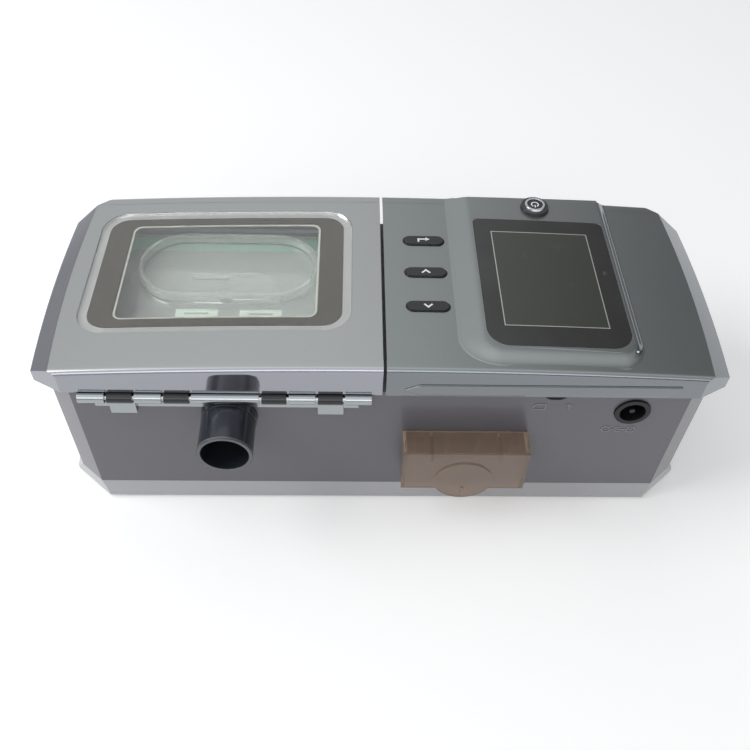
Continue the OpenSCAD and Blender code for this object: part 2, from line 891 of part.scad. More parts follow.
module control_board() {
  x0 = at_control_xs[0] - 5;
  x1 = at_control_xs[1] + 2.6;
  at_origin() color([0.10, 0.34, 0.20])
  difference() {
    box([x0, -half_d + wall + 1, control_z - board_t], [x1, half_d - control_back, control_z]);
    at_control_screws()
      translate([0, 0, control_z - board_t - eps])
        cylinder(h = board_t + 2 * eps, r = screw_r + slack, $fn = round_n);
    for (x = [x0, x1])
      translate([x, -half_d + wall + 1, 0])
        cylinder(h = 2 * body_h, r = 4, $fn = round_n);
    at_cover_screws()
      cylinder(h = 2 * body_h, r = boss_r + 0.6, $fn = round_n);
  }
}

module control_screws() {
  at_origin() color([0.60, 0.61, 0.63])
  at_control_screws()
    screw(control_z - board_t - screw_head_h, board_t + 3.5);
}

switch_h = 2.2;
switch_top = control_z + switch_h + 0.8;
power_switch_lift = crown_z(power_x) - crown_z(button_x);

// One tact switch with its plunger, standing on the control board, raised by a spacer
module tact_switch(lift) {
  box([-3, -3, control_z], [3, 3, control_z + switch_h + lift]);
  translate([0, 0, control_z + switch_h + lift])
    cylinder(h = 0.8, r = 1.7, $fn = round_n);
}

module tact_switches() {
  at_origin() color([0.20, 0.20, 0.22]) {
    at_buttons()
      tact_switch(0);
    translate([power_x, power_y, 0])
      tact_switch(power_switch_lift);
  }
}

// --- Buttons ----------------------------------------------------------------------------------------

flange_t = 0.8;

// A pill button: cap, retaining flange under the cover, and a foot just above its switch
module pill_button(i) {
  z_top = crown_z(button_x) + button_proud;
  z_flange = top_in_z - 0.35;
  z_foot = switch_top + button_travel + 0.2;
  translate([button_x, button_y + i * button_pitch, 0]) {
    pill(button_l, button_w, z_flange - flange_t, z_top - 0.5);
    pill(button_l - 0.8, button_w - 0.8, z_flange - flange_t, z_top);
    pill(button_l + 2.4, button_w + 2.4, z_flange - flange_t, z_flange);
    translate([0, 0, z_foot])
      cylinder(h = z_flange - z_foot, r = 1.6, $fn = round_n);
  }
}

module enter_button() {
  at_origin() color([0.05, 0.05, 0.06])
  pill_button(-1);
}

module up_button() {
  at_origin() color([0.05, 0.05, 0.06])
  pill_button(1);
}

module down_button() {
  at_origin() color([0.05, 0.05, 0.06])
  pill_button(0);
}

power_face = crown_z(power_x) + surround_h;
collar_r = power_ring_r + 2;
collar_seat = 0.5;

// Dark cone that carries the ring, seated in a flat pocket of the surround
module power_collar() {
  at_origin() color([0.12, 0.12, 0.14])
  difference() {
    translate([power_x, power_y, power_face - collar_seat])
      cylinder(h = power_collar_h + collar_seat, r1 = collar_r, r2 = collar_r - 0.6, $fn = fine);
    translate([power_x, power_y, rim_z])
      cylinder(h = 30, r = power_r + button_gap, $fn = fine);
  }
}

module power_ring() {
  at_origin() color([0.80, 0.81, 0.84])
  difference() {
    translate([power_x, power_y, power_face + power_collar_h])
      cylinder(h = 0.9, r1 = power_ring_r, r2 = power_ring_r - 0.3, $fn = fine);
    translate([power_x, power_y, rim_z])
      cylinder(h = 30, r = power_r + button_gap, $fn = fine);
  }
}

module power_button() {
  z_flange = crown_z(power_x) - wall - 0.35;
  z_foot = switch_top + power_switch_lift + button_travel + 0.2;
  wing = power_r + 1.2;
  at_origin() color([0.10, 0.10, 0.12])
  translate([power_x, power_y, 0]) {
    translate([0, 0, z_foot])
      cylinder(h = power_face + power_collar_h + 0.6 - z_foot, r = power_r, $fn = fine);
    box([-wing, -2, z_flange - flange_t], [wing, 2, z_flange]);
  }
}

// --- Electronics ------------------------------------------------------------------------------------

module main_board() {
  at_origin() color([0.10, 0.34, 0.20])
  difference() {
    box([board_x0, -board_half_y, board_z - board_t], [board_x1, board_half_y, board_z]);
    at_board_posts()
      translate([0, 0, board_z - board_t - eps])
        cylinder(h = board_t + 2 * eps, r = screw_r + slack, $fn = round_n);
    for (s = [-1, 1])
      translate([board_x0, s * board_half_y, 0])
        rotate([0, 0, 45])
          cube([4, 4, 3 * board_z], center = true);
  }
}

module board_screws() {
  at_origin() color([0.60, 0.61, 0.63])
  at_board_posts()
    translate([0, 0, board_z + screw_head_h])
      mirror([0, 0, 1])
        screw(0, board_t + 6);
}

module board_parts() {
  at_origin() color([0.22, 0.22, 0.24]) {
    for (y = [-30, -16, -2])
      translate([board_x0 + 13, y, board_z])
        cylinder(h = 12, r = 4, $fn = round_n);
    translate([board_x0 + 31, -24, board_z])
      slab(14, 14, 1, 0, 9);
    translate([board_x0 + 35, 4, board_z])
      slab(16, 16, 0.5, 0, 1.6);
    translate([board_x0 + 53, -22, board_z])
      slab(10, 18, 0.5, 0, 7);
    translate([board_x0 + 53, 8, board_z])
      slab(8, 12, 0.5, 0, 2);
    translate([board_x0 + 15, 20, board_z])
      slab(18, 10, 0.5, 0, 3);
  }
}

jack_back = wall_in_y - 12;

module dc_inlet() {
  at_origin() color([0.06, 0.06, 0.07]) {
    difference() {
      union() {
        translate([jack_x, 0, jack_z])
          rod_y(wall_in_y, wall_y + 0.9, jack_r);
        box([jack_x - jack_r - 1, jack_back, board_z], [jack_x + jack_r + 1, wall_in_y, jack_z + jack_r]);
      }
      translate([jack_x, 0, jack_z])
        rod_y(wall_y + 0.9 - jack_depth, wall_y + 2, jack_bore_r);
    }
    translate([jack_x, 0, jack_z]) {
      rod_y(wall_y + 0.9 - jack_depth, wall_y, 1.2);
    }
  }
}

module card_socket() {
  at_origin() color([0.12, 0.12, 0.13])
  difference() {
    box([card_x - card_half - 1.4, wall_in_y - 13, board_z], [card_x + card_half + 1.4, wall_in_y, rim_z - 0.2]);
    box([card_x - card_half + 0.6, wall_in_y - 11, rim_z - card_deep + 0.8],
        [card_x + card_half - 0.6, wall_in_y + eps, rim_z - 1.4]);
  }
}

// --- Blower and air path ----------------------------------------------------------------------------

plate_t = 2;
volute_z0 = nozzle_z - nozzle_r - plate_t - 1;
volute_z1 = nozzle_z + nozzle_r + 1.5;
axis_x = volute_x - 3;
axis_y = volute_y + 3;
nozzle_end = volute_x + volute_r + nozzle_run;
nozzle_wall = 1.6;
blower_screw_r = volute_r + 2.4;

module at_blower_screws() {
  for (a = [10, 130, 190])
    translate([volute_x + blower_screw_r * cos(a), volute_y + blower_screw_r * sin(a), 0])
      children();
}

module blower_base() {
  at_origin() color([0.86, 0.86, 0.84])
  difference() {
    union() {
      translate([volute_x, volute_y, volute_z0])
        cylinder(h = volute_z1 - volute_z0, r = volute_r, $fn = fine);
      translate([volute_x, port_y, nozzle_z])
        rod_x(0, nozzle_end - volute_x, nozzle_r);
      at_blower_screws()
        translate([0, 0, volute_z0])
          cylinder(h = volute_z1 - volute_z0, r = boss_r, $fn = round_n);
    }
    translate([volute_x, volute_y, volute_z0 + plate_t])
      cylinder(h = volute_z1, r = volute_r - plate_t, $fn = fine);
    translate([volute_x, port_y, nozzle_z])
      rod_x(nozzle_r, nozzle_end - volute_x + eps, nozzle_r - nozzle_wall);
    at_blower_screws()
      translate([0, 0, volute_z1 - 10])
        cylinder(h = 12, r = screw_r, $fn = round_n);
    translate([axis_x, axis_y, 0])
      cylinder(h = volute_z1, r = shaft_r + 1, $fn = round_n);
  }
}

module blower_cover() {
  at_origin() color([0.86, 0.86, 0.84])
  difference() {
    union() {
      translate([volute_x, volute_y, volute_z1])
        cylinder(h = plate_t, r = volute_r, $fn = fine);
      at_blower_screws()
        translate([0, 0, volute_z1])
          cylinder(h = plate_t, r = boss_r, $fn = round_n);
      translate([axis_x, axis_y, volute_z1])
        cylinder(h = plate_t + 2.5, r = eye_r + 2, $fn = fine);
    }
    translate([axis_x, axis_y, volute_z1 - eps])
      cylinder(h = plate_t + 6, r = eye_r, $fn = fine);
    at_blower_screws()
      translate([0, 0, volute_z1 - eps])
        cylinder(h = plate_t + 2 * eps, r = screw_r + slack, $fn = round_n);
  }
}

eye_r = 11;

module blower_screws() {
  at_origin() color([0.60, 0.61, 0.63])
  at_blower_screws()
    translate([0, 0, volute_z1 + plate_t + screw_head_h])
      mirror([0, 0, 1])
        screw(0, plate_t + 8);
}

motor_z0 = floor_z + 2;

module motor_can() {
  at_origin() color([0.70, 0.71, 0.73])
  difference() {
    translate([axis_x, axis_y, motor_z0])
      cylinder(h = volute_z0 - motor_z0, r = motor_r, $fn = fine);
    translate([axis_x, axis_y, motor_z0 + 1.5])
      cylinder(h = volute_z0 - motor_z0 - 3, r = motor_r - 1.5, $fn = fine);
    translate([axis_x, axis_y, 0])
      cylinder(h = volute_z0 + eps, r = shaft_r + shaft_gap, $fn = round_n);
  }
}

module motor_rotor() {
  at_origin() color([0.35, 0.35, 0.38])
  difference() {
    translate([axis_x, axis_y, motor_z0 + 2.1])
      cylinder(h = volute_z0 - motor_z0 - 4.2, r = motor_r - 3.5, $fn = fine);
    translate([axis_x, axis_y, 0])
      cylinder(h = volute_z0, r = shaft_r, $fn = round_n);
  }
}

module motor_shaft() {
  at_origin() color([0.72, 0.73, 0.75])
  translate([axis_x, axis_y, motor_z0 + 0.3])
    cylinder(h = volute_z1 - 4 - motor_z0, r = shaft_r, $fn = round_n);
}

impeller_z0 = volute_z0 + plate_t + 0.8;
impeller_z1 = volute_z1 - 1;

module impeller() {
  at_origin() color([0.90, 0.90, 0.88])
  difference() {
    translate([axis_x, axis_y, 0]) {
      translate([0, 0, impeller_z0])
        cylinder(h = 1.4, r = impeller_r, $fn = fine);
      translate([0, 0, impeller_z0])
        cylinder(h = 10, r = 5, $fn = round_n);
      intersection() {
        for (i = [0:blade_count - 1])
          rotate([0, 0, i * 360 / blade_count])
            translate([4, 0, impeller_z0])
              rotate([0, 0, 28])
                translate([0, -0.6, 0])
                  cube([impeller_r, 1.2, impeller_z1 - impeller_z0]);
        cylinder(h = volute_z1, r = impeller_r, $fn = fine);
        translate([0, 0, impeller_z0])
          cylinder(h = impeller_z1 - impeller_z0, r1 = impeller_r + 14, r2 = impeller_r - 4, $fn = fine);
      }
    }
    translate([axis_x, axis_y, 0])
      cylinder(h = volute_z1, r = shaft_r, $fn = round_n);
  }
}

module blower_mounts() {
  at_origin() color([0.12, 0.12, 0.13])
  for (a = [40, 160, 280])
    translate([volute_x + 26 * cos(a), volute_y + 26 * sin(a), floor_z])
      difference() {
        cylinder(h = volute_z0 - floor_z, r = 3.6, $fn = round_n);
        translate([0, 0, 5])
          difference() {
            cylinder(h = 3, r = 5, $fn = round_n);
            cylinder(h = 3, r = 2.6, $fn = round_n);
          }
      }
}

duct_r = nozzle_r + 1.5;
riser = duct_rise - 2 * bend_r;

// The duct's route as a solid of radius r
module duct_route(r, extra) {
  translate([0, 0, nozzle_z])
    rod_x(nozzle_end - 6 - extra, bend_x, r);
  translate([bend_x, 0, nozzle_z + bend_r])
    rotate([90, 0, 0])
      rotate([0, 0, -90])
        rotate_extrude(angle = duct_turn, $fn = fine)
          translate([bend_r, 0])
            circle(r, $fn = fine);
  if (riser > slack)
    translate([bend_x + bend_r, 0, nozzle_z + bend_r])
      cylinder(h = riser, r = r, $fn = fine);
  translate([bend_x + duct_step, 0, port_z - bend_r])
    rotate([90, 0, 0])
      rotate([0, 0, 90])
        rotate_extrude(angle = duct_turn, $fn = fine)
          translate([bend_r, 0])
            circle(r, $fn = fine);
  translate([0, 0, port_z])
    rod_x(bend_x + duct_step, -partition_x + extra, r);
}

module outlet_duct() {
  at_origin() color([0.14, 0.14, 0.15])
  translate([0, port_y, 0])
    difference() {
      duct_route(duct_r, 0);
      duct_route(nozzle_r, eps);
    }
}

foam_x0 = filter_x - 28;
foam_x1 = filter_x + 22;
foam_deep = 23.3;
foam_y0 = wall_in_y - foam_deep;

module muffler_foam() {
  y1 = wall_in_y - foam_t - 0.2;
  z1 = intake_z + intake_h / 2 + 6;
  at_origin() color([0.25, 0.25, 0.27])
  difference() {
    box([foam_x0, foam_y0, floor_z], [foam_x1, y1, z1]);
    box([filter_x - intake_l / 2 + 4, foam_y0 + 4, intake_z - intake_h / 2 + 1],
        [filter_x + intake_l / 2 - 4, y1 + eps, intake_z + intake_h / 2 - 1]);
    translate([foam_x0 - eps, foam_y0 + 9, intake_z])
      rod_x(0, 14, 5);
  }
}

module filter_foam() {
  at_origin() color([0.36, 0.33, 0.30])
  box([filter_x - intake_l / 2 + slack, wall_in_y - foam_t, intake_z - intake_h / 2 + slack],
      [filter_x + intake_l / 2 - slack, wall_in_y, intake_z + intake_h / 2 - slack]);
}

clip_w = 3;
clip_h = 8;
tab_r = 12.4;
tab_t = 0.6;

// Hood over the air intake, open below, with a round thumb tab and two clips
module filter_cover() {
  y0 = wall_y + run_gap;
  y1 = wall_y + filter_out;
  z1 = filter_z + filter_h;
  tab_z = filter_z + tab_r / 2;
  at_origin() color([0.38, 0.30, 0.26]) {
    difference() {
      box([filter_x - filter_l / 2, y0, filter_z], [filter_x + filter_l / 2, y1, z1]);
      box([filter_x - filter_l / 2 + filter_wall, y0 - eps, filter_z - eps],
          [filter_x + filter_l / 2 - filter_wall, y1 - filter_wall, z1 - filter_wall]);
    }
    // thumb tab, a disc that reaches below the hood, with a grip rib
    translate([filter_x, 0, tab_z])
      rod_y(y1 - filter_wall + 0.3, y1 + tab_t, tab_r);
    translate([filter_x, y1, tab_z - tab_r])
      box([-0.6, 0, 1.6], [0.6, tab_t + 1, tab_r * 0.6]);
    // two stiffening ribs under the top
    for (s = [-1, 1])
      translate([filter_x + s * 14.2, 0, 0])
        box([-0.7, y0, z1 - filter_wall - 5], [0.7, y1 - filter_wall + 0.2, z1 - filter_wall + 0.2]);
    // clips, carried by the side walls
    at_filter_clips()
      box([-clip_w / 2, wall_in_y - 1, -clip_h / 2], [clip_w / 2, y0 + 4, clip_h / 2]);
  }
}

flange_r = shelf_z - tube_z - slack;
flange_y = wall_in_y - 2;

module outlet_tube() {
  at_origin() color([0.10, 0.11, 0.15])
  translate([tube_x, 0, tube_z])
    difference() {
      union() {
        rod_y(flange_y, half_d + tube_out, tube_r);
        rod_y(flange_y, wall_y + 4, tube_r + 0.25);
        rod_y(flange_y, wall_in_y, flange_r);
      }
      rod_y(flange_y - eps, half_d + tube_out + eps, tube_r - tube_wall);
    }
}

tank_back = tank_y + tank_w / 2;
tank_front = tank_y - tank_w / 2;
tank_port_out = 1.5;

pipe_r = tube_r - 0.6;
seal_y = tank_back + tank_port_out + run_gap;
seal_t = 2.5;

// Straight pipe from the tank's seal to the outlet tube
module outlet_pipe() {
  at_origin() color([0.14, 0.15, 0.18])
  translate([tube_x, 0, tube_z])
    difference() {
      rod_y(seal_y + seal_t, flange_y, pipe_r);
      rod_y(seal_y, flange_y + eps, pipe_r - tube_wall);
    }
}

module outlet_seal() {
  at_origin() color([0.55, 0.56, 0.58])
  translate([tube_x, 0, tube_z])
    difference() {
      rod_y(seal_y, seal_y + seal_t, pipe_r);
      rod_y(seal_y - eps, seal_y + seal_t + eps, port_r);
    }
}

module inlet_seal() {
  at_origin() color([0.55, 0.56, 0.58])
  translate([0, port_y, port_z])
    difference() {
      rod_x(partition_x, tank_x0 - tank_port_out - run_gap, port_boss_r);
      rod_x(0, tank_x0, port_r);
    }
}

// --- Hinge ------------------------------------------------------------------------------------------

rail_z0 = hinge_z - 7;
rail_z1 = hinge_z - knuckle_r - 0.5;

// Start and length of each knuckle, from the hinge's middle
knuckles = [
  [-knuckle_mid, 2 * knuckle_mid],
  [arm_mids[0] + arm_l / 2 + knuckle_gap, knuckle_l],
  [arm_mids[1] + arm_l / 2 + knuckle_gap, knuckle_l],
  [-arm_mids[0] - arm_l / 2 - knuckle_gap - knuckle_l, knuckle_l],
  [-arm_mids[1] - arm_l / 2 - knuckle_gap - knuckle_l, knuckle_l]
];

module hinge_rail() {
  at_origin() color([0.78, 0.79, 0.82])
  difference() {
    union() {
      // leaf on the back wall
      box([tube_x - rail_half + 5, wall_y, rail_z0], [tube_x + rail_half - 5, wall_y + 1.2, rail_z1]);
      for (k = knuckles)
        translate([tube_x + k[0], hinge_y, hinge_z]) {
          rod_x(0, k[1], knuckle_r);
          box([0, wall_y - hinge_y, rail_z1 - hinge_z - 0.4], [k[1], 0, 0]);
        }
      // stop tabs below the outer arms
      for (s = [-1, 1])
        translate([tube_x + s * arm_mids[1], wall_y, 0])
          box([-arm_l / 2 - 0.3, 0, hinge_z - 9.6], [arm_l / 2 + 0.3, 2.6, rail_z1]);
    }
    // arch over the outlet tube
    translate([tube_x, 0, tube_z])
      rod_y(wall_y - eps, hinge_y + 10, tube_r + 0.25 + slack);
    translate([0, hinge_y, hinge_z])
      rod_x(0, body_l, pin_r);
  }
}

module hinge_pin() {
  at_origin() color([0.70, 0.71, 0.74])
  translate([tube_x, hinge_y, hinge_z])
    rod_x(-rail_half + 0.4, rail_half - 0.4, pin_r);
}

module hinge_arms() {
  at_origin() color([0.10, 0.10, 0.12])
  at_arms()
    difference() {
      union() {
        translate([0, hinge_y, hinge_z])
          rod_x(-arm_l / 2, arm_l / 2, knuckle_r);
        box([-arm_l / 2, arm_y0, arm_z0], [arm_l / 2, hinge_y, hinge_z + 1.6]);
        box([-arm_l / 2, arm_y0, arm_z0], [arm_l / 2, arm_y0 + arm_t, bevel_z + 4]);
      }
      translate([0, hinge_y, hinge_z])
        rod_x(-arm_l, arm_l, pin_r + shaft_gap);
    }
}

arm_y0 = half_d - wall - arm_t;

// --- Lid --------------------------------------------------------------------------------------------

liner_z0 = seam_z + 1.2;
liner_z1 = liner_z0 + 2;
liner_screw_xs = [10, half_l - 12.5];
liner_screw_ys = [13.5 - half_d, half_d - 19.5];
hinge_relief = 0.4;

module at_liner_screws() {
  for (x = liner_screw_xs)
    for (y = liner_screw_ys)
      translate([x, y, 0])
        children();
}

// Slab with the window's outline, grown by g, from z0 up
module window_slab(l, w, r, g) {
  translate([window_x, window_y, 0])
    slab(l + 2 * g, w + 2 * g, r + g, seam_z, body_h + 3);
}

module lid_shell() {
  plate_top = window_drop;
  plate_low = window_drop + window_t;
  at_origin() color([0.56, 0.57, 0.60])
  difference() {
    union() {
      difference() {
        intersection() {
          top_form(0, seam_z);
          half_space(1, top_gap / 2);
        }
        intersection() {
          top_form(wall, seam_z - eps);
          half_space(1, top_gap / 2 + wall);
        }
      }
      // ledge under the window
      difference() {
        intersection() {
          window_slab(border_l, border_w, border_r, window_rim + 2);
          under_crown(wall / 2);
        }
        under_crown(plate_low + 1.6);
      }
      intersection() {
        at_liner_screws()
          translate([0, 0, liner_z1])
            cylinder(h = 20, r = boss_r, $fn = round_n);
        top_form(wall / 2, seam_z);
      }
    }
    // seat of the window
    difference() {
      window_slab(border_l, border_w, border_r, window_rim + slack);
      under_crown(plate_low);
    }
    // opening below the window, just inside the border
    window_slab(pane_l, pane_w, pane_r, 1);
    at_liner_screws()
      translate([0, 0, liner_z1 - eps])
        cylinder(h = 6, r = screw_r, $fn = round_n);
    // relief over the hinge
    translate([tube_x - rail_half - 1, half_d - wall - slack, seam_z - eps])
      cube([2 * rail_half + 2, wall + 1, eps + hinge_relief]);
  }
}

module window_border() {
  at_origin() color([0.13, 0.11, 0.11])
  difference() {
    intersection() {
      window_slab(border_l, border_w, border_r, 0);
      under_crown(window_drop + window_t - border_t + print_gap);
    }
    under_crown(window_drop + window_t);
    window_slab(pane_l, pane_w, pane_r, 0);
  }
}

module lid_window() {
  at_origin() color([0.80, 0.84, 0.84, 0.4])
  difference() {
    intersection() {
      window_slab(border_l, border_w, border_r, window_rim);
      under_crown(window_drop);
    }
    under_crown(window_drop + window_t);
    difference() {
      intersection() {
        window_slab(border_l, border_w, border_r, 0);
        under_crown(window_drop + window_t - border_t);
      }
      window_slab(pane_l, pane_w, pane_r, 0);
    }
  }
}

module lid_liner() {
  at_origin() color([0.40, 0.41, 0.44])
  difference() {
    intersection() {
      top_form(wall + slack, liner_z0);
      half_space(1, top_gap / 2 + wall + slack);
      box([0, -half_d, liner_z0], [half_l, arm_y0 - 0.5, liner_z1]);
    }
    translate([window_x, window_y, 0])
      slab(pane_l + 15, pane_w + 15, pane_r + 4, 0, body_h);
    translate([tube_x, 0, 0])
      box([-catch_half - slack, -half_d, 0], [catch_half + slack, catch_y + catch_out + slack, body_h]);
    at_liner_screws()
      cylinder(h = body_h, r = screw_r + slack, $fn = round_n);
  }
}

module liner_screws() {
  at_origin() color([0.60, 0.61, 0.63])
  at_liner_screws()
    screw(liner_z0 - screw_head_h, liner_z1 - liner_z0 + 4);
}

catch_half = 8;
catch_y = -half_d + wall;
catch_in = 2.8;
catch_out = 4.6;

// Tongue that snaps in behind the front wall
module lid_catch() {
  at_origin() color([0.14, 0.14, 0.16])
  translate([tube_x, 0, 0]) {
    box([-catch_half, catch_y, liner_z1 + 0.2], [catch_half, catch_y + catch_out, liner_z1 + 5]);
    box([-catch_half, catch_y + catch_in, rim_z - 8], [catch_half, catch_y + catch_out, liner_z1 + 5]);
  }
}

// --- Tank -------------------------------------------------------------------------------------------

tub_z0 = bay_z + run_gap;
tub_z1 = seam_z - tub_down;
tank_r = 10;
gasket_t = 1.2;
lid_plate_z = tub_z1 + gasket_t;
lid_plate_t = 2;
dome_z = lid_plate_z + lid_plate_t + dome_h;
dome_x = heater_x + 2.3;
dome_y = tank_y - 3;
rim_t = 2.2;
plate_z = bay_z + 1.2;
clip_xs = [-13.4, 13.7];
clip_half = 9;
tank_clip_t = 1.4;
heater_gap = 2;
clip_low = max(tub_z1 - 3, tube_z + port_boss_r + slack);

// Outline of the tank, smaller by c
module tank_slab(c, z0, z1) {
  translate([heater_x, tank_y, 0])
    slab(tank_l - 2 * c, tank_w - 2 * c, tank_r - c, z0, z1);
}

module tank_base() {
  at_origin() color([0.80, 0.86, 0.86, 0.4])
  difference() {
    union() {
      tank_slab(0, tub_z0, tub_z1);
      translate([tube_x, 0, tube_z])
        rod_y(tank_back - tank_wall, tank_back + tank_port_out, port_boss_r);
      translate([0, port_y, port_z])
        rod_x(tank_x0 - tank_port_out, tank_x0 + tank_wall, port_boss_r);
    }
    tank_slab(tank_wall, plate_z + 2.4, tub_z1 + eps);
    translate([heater_x, heater_y, 0])
      slab(heater_l + 8, heater_w + 8, 6, 0, plate_z + tank_wall);
    translate([heater_x, heater_y, 0])
      slab(heater_l + 2 * heater_gap, heater_w + 2 * heater_gap, 6, 0, 2 * bay_z);
    translate([tube_x, 0, tube_z])
      rod_y(tank_back - tank_wall - eps, tank_back + 4, port_r);
    translate([0, port_y, port_z])
      rod_x(0, tank_x0 + tank_wall + eps, port_r);
  }
}

module tank_plate() {
  at_origin() color([0.74, 0.75, 0.76])
  translate([heater_x, heater_y, 0])
    slab(heater_l + 8, heater_w + 8, 6, plate_z, plate_z + tank_wall);
}

module tank_gasket() {
  at_origin() color([0.62, 0.64, 0.65])
  difference() {
    tank_slab(0, tub_z1, lid_plate_z);
    tank_slab(tank_wall, 0, body_h);
  }
}

// Clear lid of the tank: plate with a stadium-shaped rim, a round pad inside it and a cross rib
module tank_lid() {
  top = lid_plate_z + lid_plate_t;
  at_origin() color([0.82, 0.88, 0.87, 0.4]) {
    tank_slab(0, lid_plate_z, top);
    translate([dome_x, dome_y, 0])
      difference() {
        union() {
          pill(dome_l, dome_w, top - 0.2, dome_z - 1);
          pill(dome_l - 1.2, dome_w - 1.2, top - 0.2, dome_z);
        }
        pill(dome_l - 2 * rim_t, dome_w - 2 * rim_t, top - eps, dome_z + eps);
      }
    intersection() {
      translate([dome_x, dome_y, 0])
        pill(dome_l - 2 * rim_t + 0.4, dome_w - 2 * rim_t + 0.4, top - 0.2, dome_z);
      translate([pad_x, dome_y + dome_w / 2 - 5, top - 0.2])
        cylinder(h = 2, r = 13, $fn = fine);
    }
    box([dome_x - 11, dome_y + 4, top - 0.2], [dome_x + 16, dome_y + 5.6, top + 2.6]);
  }
}

pad_x = heater_x - 8;

// Clips that hold the tank's lid at the back, each with a window over its catch
module tank_clips() {
  top = lid_plate_z + lid_plate_t;
  at_origin() color([0.80, 0.86, 0.86, 0.6])
  for (x = clip_xs)
    translate([heater_x + x, 0, 0])
      difference() {
        union() {
          box([-clip_half, tank_back - 8, top], [clip_half, tank_back + tank_clip_t, top + 1.6]);
          box([-clip_half, tank_back, clip_low], [clip_half, tank_back + tank_clip_t, top + 0.5]);
        }
        box([-clip_half + 4, tank_back - 6, top + 0.6], [clip_half - 4, tank_back - 2.4, top + 3]);
      }
}

// --- Heater -----------------------------------------------------------------------------------------

heater_top = bay_z + 0.9;
heater_flange_z = bay_z - inner_t - run_gap;

module heater_plate() {
  at_origin() color([0.72, 0.73, 0.75])
  translate([heater_x, heater_y, 0]) {
    slab(heater_l, heater_w, 5.5, heater_flange_z - 1.6, heater_top);
    slab(heater_l + 6, heater_w + 6, 6, heater_flange_z - 1.6, heater_flange_z);
  }
}

spring_r = 4;
wire_r = 0.6;
spring_turns = 4;
spring_steps = 16;

// Points of a ring round the wire at step i
function wire_ring(i, z0, z1) =
  let (a = 360 * i / spring_steps, t = i / (spring_turns * spring_steps))
  let (z = z0 + wire_r + (z1 - z0 - 2 * wire_r) * t)
  [for (j = [0:5]) let (b = 60 * j)
    [(spring_r + wire_r * cos(b)) * cos(a), (spring_r + wire_r * cos(b)) * sin(a), z + wire_r * sin(b)]];

// A coil spring between two heights
module coil_spring(z0, z1) {
  n = spring_turns * spring_steps;
  points = [for (i = [0:n]) each wire_ring(i, z0, z1)];
  sides = [for (i = [0:n - 1]) for (j = [0:5])
    [6 * i + j, 6 * i + (j + 1) % 6, 6 * (i + 1) + (j + 1) % 6, 6 * (i + 1) + j]];
  caps = [[5, 4, 3, 2, 1, 0], [for (j = [0:5]) 6 * n + j]];
  polyhedron(points, concat(sides, caps), convexity = 10);
}

module heater_springs() {
  at_origin() color([0.70, 0.71, 0.74])
  for (sx = [-1, 1])
    for (sy = [-1, 1])
      translate([heater_x + sx * (heater_l / 2 - 6), heater_y + sy * (heater_w / 2 - 6), 0])
        coil_spring(floor_z, heater_flange_z - 1.6);
}

base_tray();
feet();
base_screws();
lower_housing();
top_cover();
cover_screws();
display_lens();
lcd_module();
control_board();
control_screws();
tact_switches();
power_collar();
power_ring();
main_board();
board_parts();
board_screws();
dc_inlet();
card_socket();
blower_base();
blower_cover();
blower_screws();
motor_can();
blower_mounts();
outlet_duct();
muffler_foam();
filter_foam();
outlet_tube();
outlet_pipe();
outlet_seal();
inlet_seal();
hinge_rail();
hinge_pin();
heater_springs();
lid_shell();
lid_window();
window_border();
lid_liner();
liner_screws();
hinge_arms();
lid_catch();
tank_base();
tank_gasket();
tank_lid();
tank_clips();
tank_plate();
heater_plate();
filter_cover();
enter_button();
up_button();
down_button();
power_button();
impeller();
motor_shaft();
motor_rotor();
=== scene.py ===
import math

import bmesh
import bpy
from bpy.props import FloatProperty, FloatVectorProperty, PointerProperty
from mathutils import Matrix, Vector


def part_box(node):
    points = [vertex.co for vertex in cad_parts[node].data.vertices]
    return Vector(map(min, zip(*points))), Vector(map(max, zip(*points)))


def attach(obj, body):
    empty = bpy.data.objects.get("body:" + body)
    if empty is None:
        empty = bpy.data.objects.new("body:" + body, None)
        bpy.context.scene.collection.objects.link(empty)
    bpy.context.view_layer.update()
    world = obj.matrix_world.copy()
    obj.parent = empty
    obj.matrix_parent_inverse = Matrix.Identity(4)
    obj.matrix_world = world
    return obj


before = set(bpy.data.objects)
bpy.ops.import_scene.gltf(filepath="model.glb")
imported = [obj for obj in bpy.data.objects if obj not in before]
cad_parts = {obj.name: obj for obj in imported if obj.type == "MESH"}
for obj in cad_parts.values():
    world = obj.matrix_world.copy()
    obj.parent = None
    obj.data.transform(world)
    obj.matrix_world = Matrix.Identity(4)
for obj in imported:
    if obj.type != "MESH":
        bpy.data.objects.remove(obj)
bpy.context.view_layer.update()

bl_info = {
    "name": "Bedside Breathing-Air Machine",
    "version": (1, 0, 0),
    "blender": (4, 5, 0),
    "location": "View3D > Sidebar > Air Machine",
    "description": "Finishes, markings and studio for a bedside breathing-air machine",
    "category": "Object",
}

MM = 0.001
UP = Vector((0.0, 0.0, 1.0))

# The covers' form: the crowned top, the bulge of the ends, the rounding of the long edges, the end bevels
CROWN_RADIUS = 2.1175
BOW_RADIUS = 0.6234
EDGE_RADIUS = 2.4 * MM
BEVEL_DROP = 9.4 * MM
BEVEL_SLOPE = 9.0 / 5.8
REAR_CUT = (13.5 * MM, 7.2 * MM)
FRONT_CUT = (18.0 * MM, 12.4 * MM)

# The window: print at both ends together and at both sides, the bead's corners, the depth of its place
BORDER_ENDS = 20.2 * MM
BORDER_SIDES = 8.7 * MM
BEAD_RADIUS = 3.5 * MM
WINDOW_DEPTH = 2.01 * MM

# The outlet tube, and the heights of the signs on the back wall
TUBE_RADIUS = 11.0 * MM
TUBE_WALL = 1.3 * MM
TUBE_HEIGHT = 0.0585
POLARITY_HEIGHT = 0.0508
CARD_HEIGHT = 0.0655

# How far the edge skins lie over the solids, and the gap round the display's lens
SKIN = 0.04 * MM
LENS_GAP = 0.15 * MM

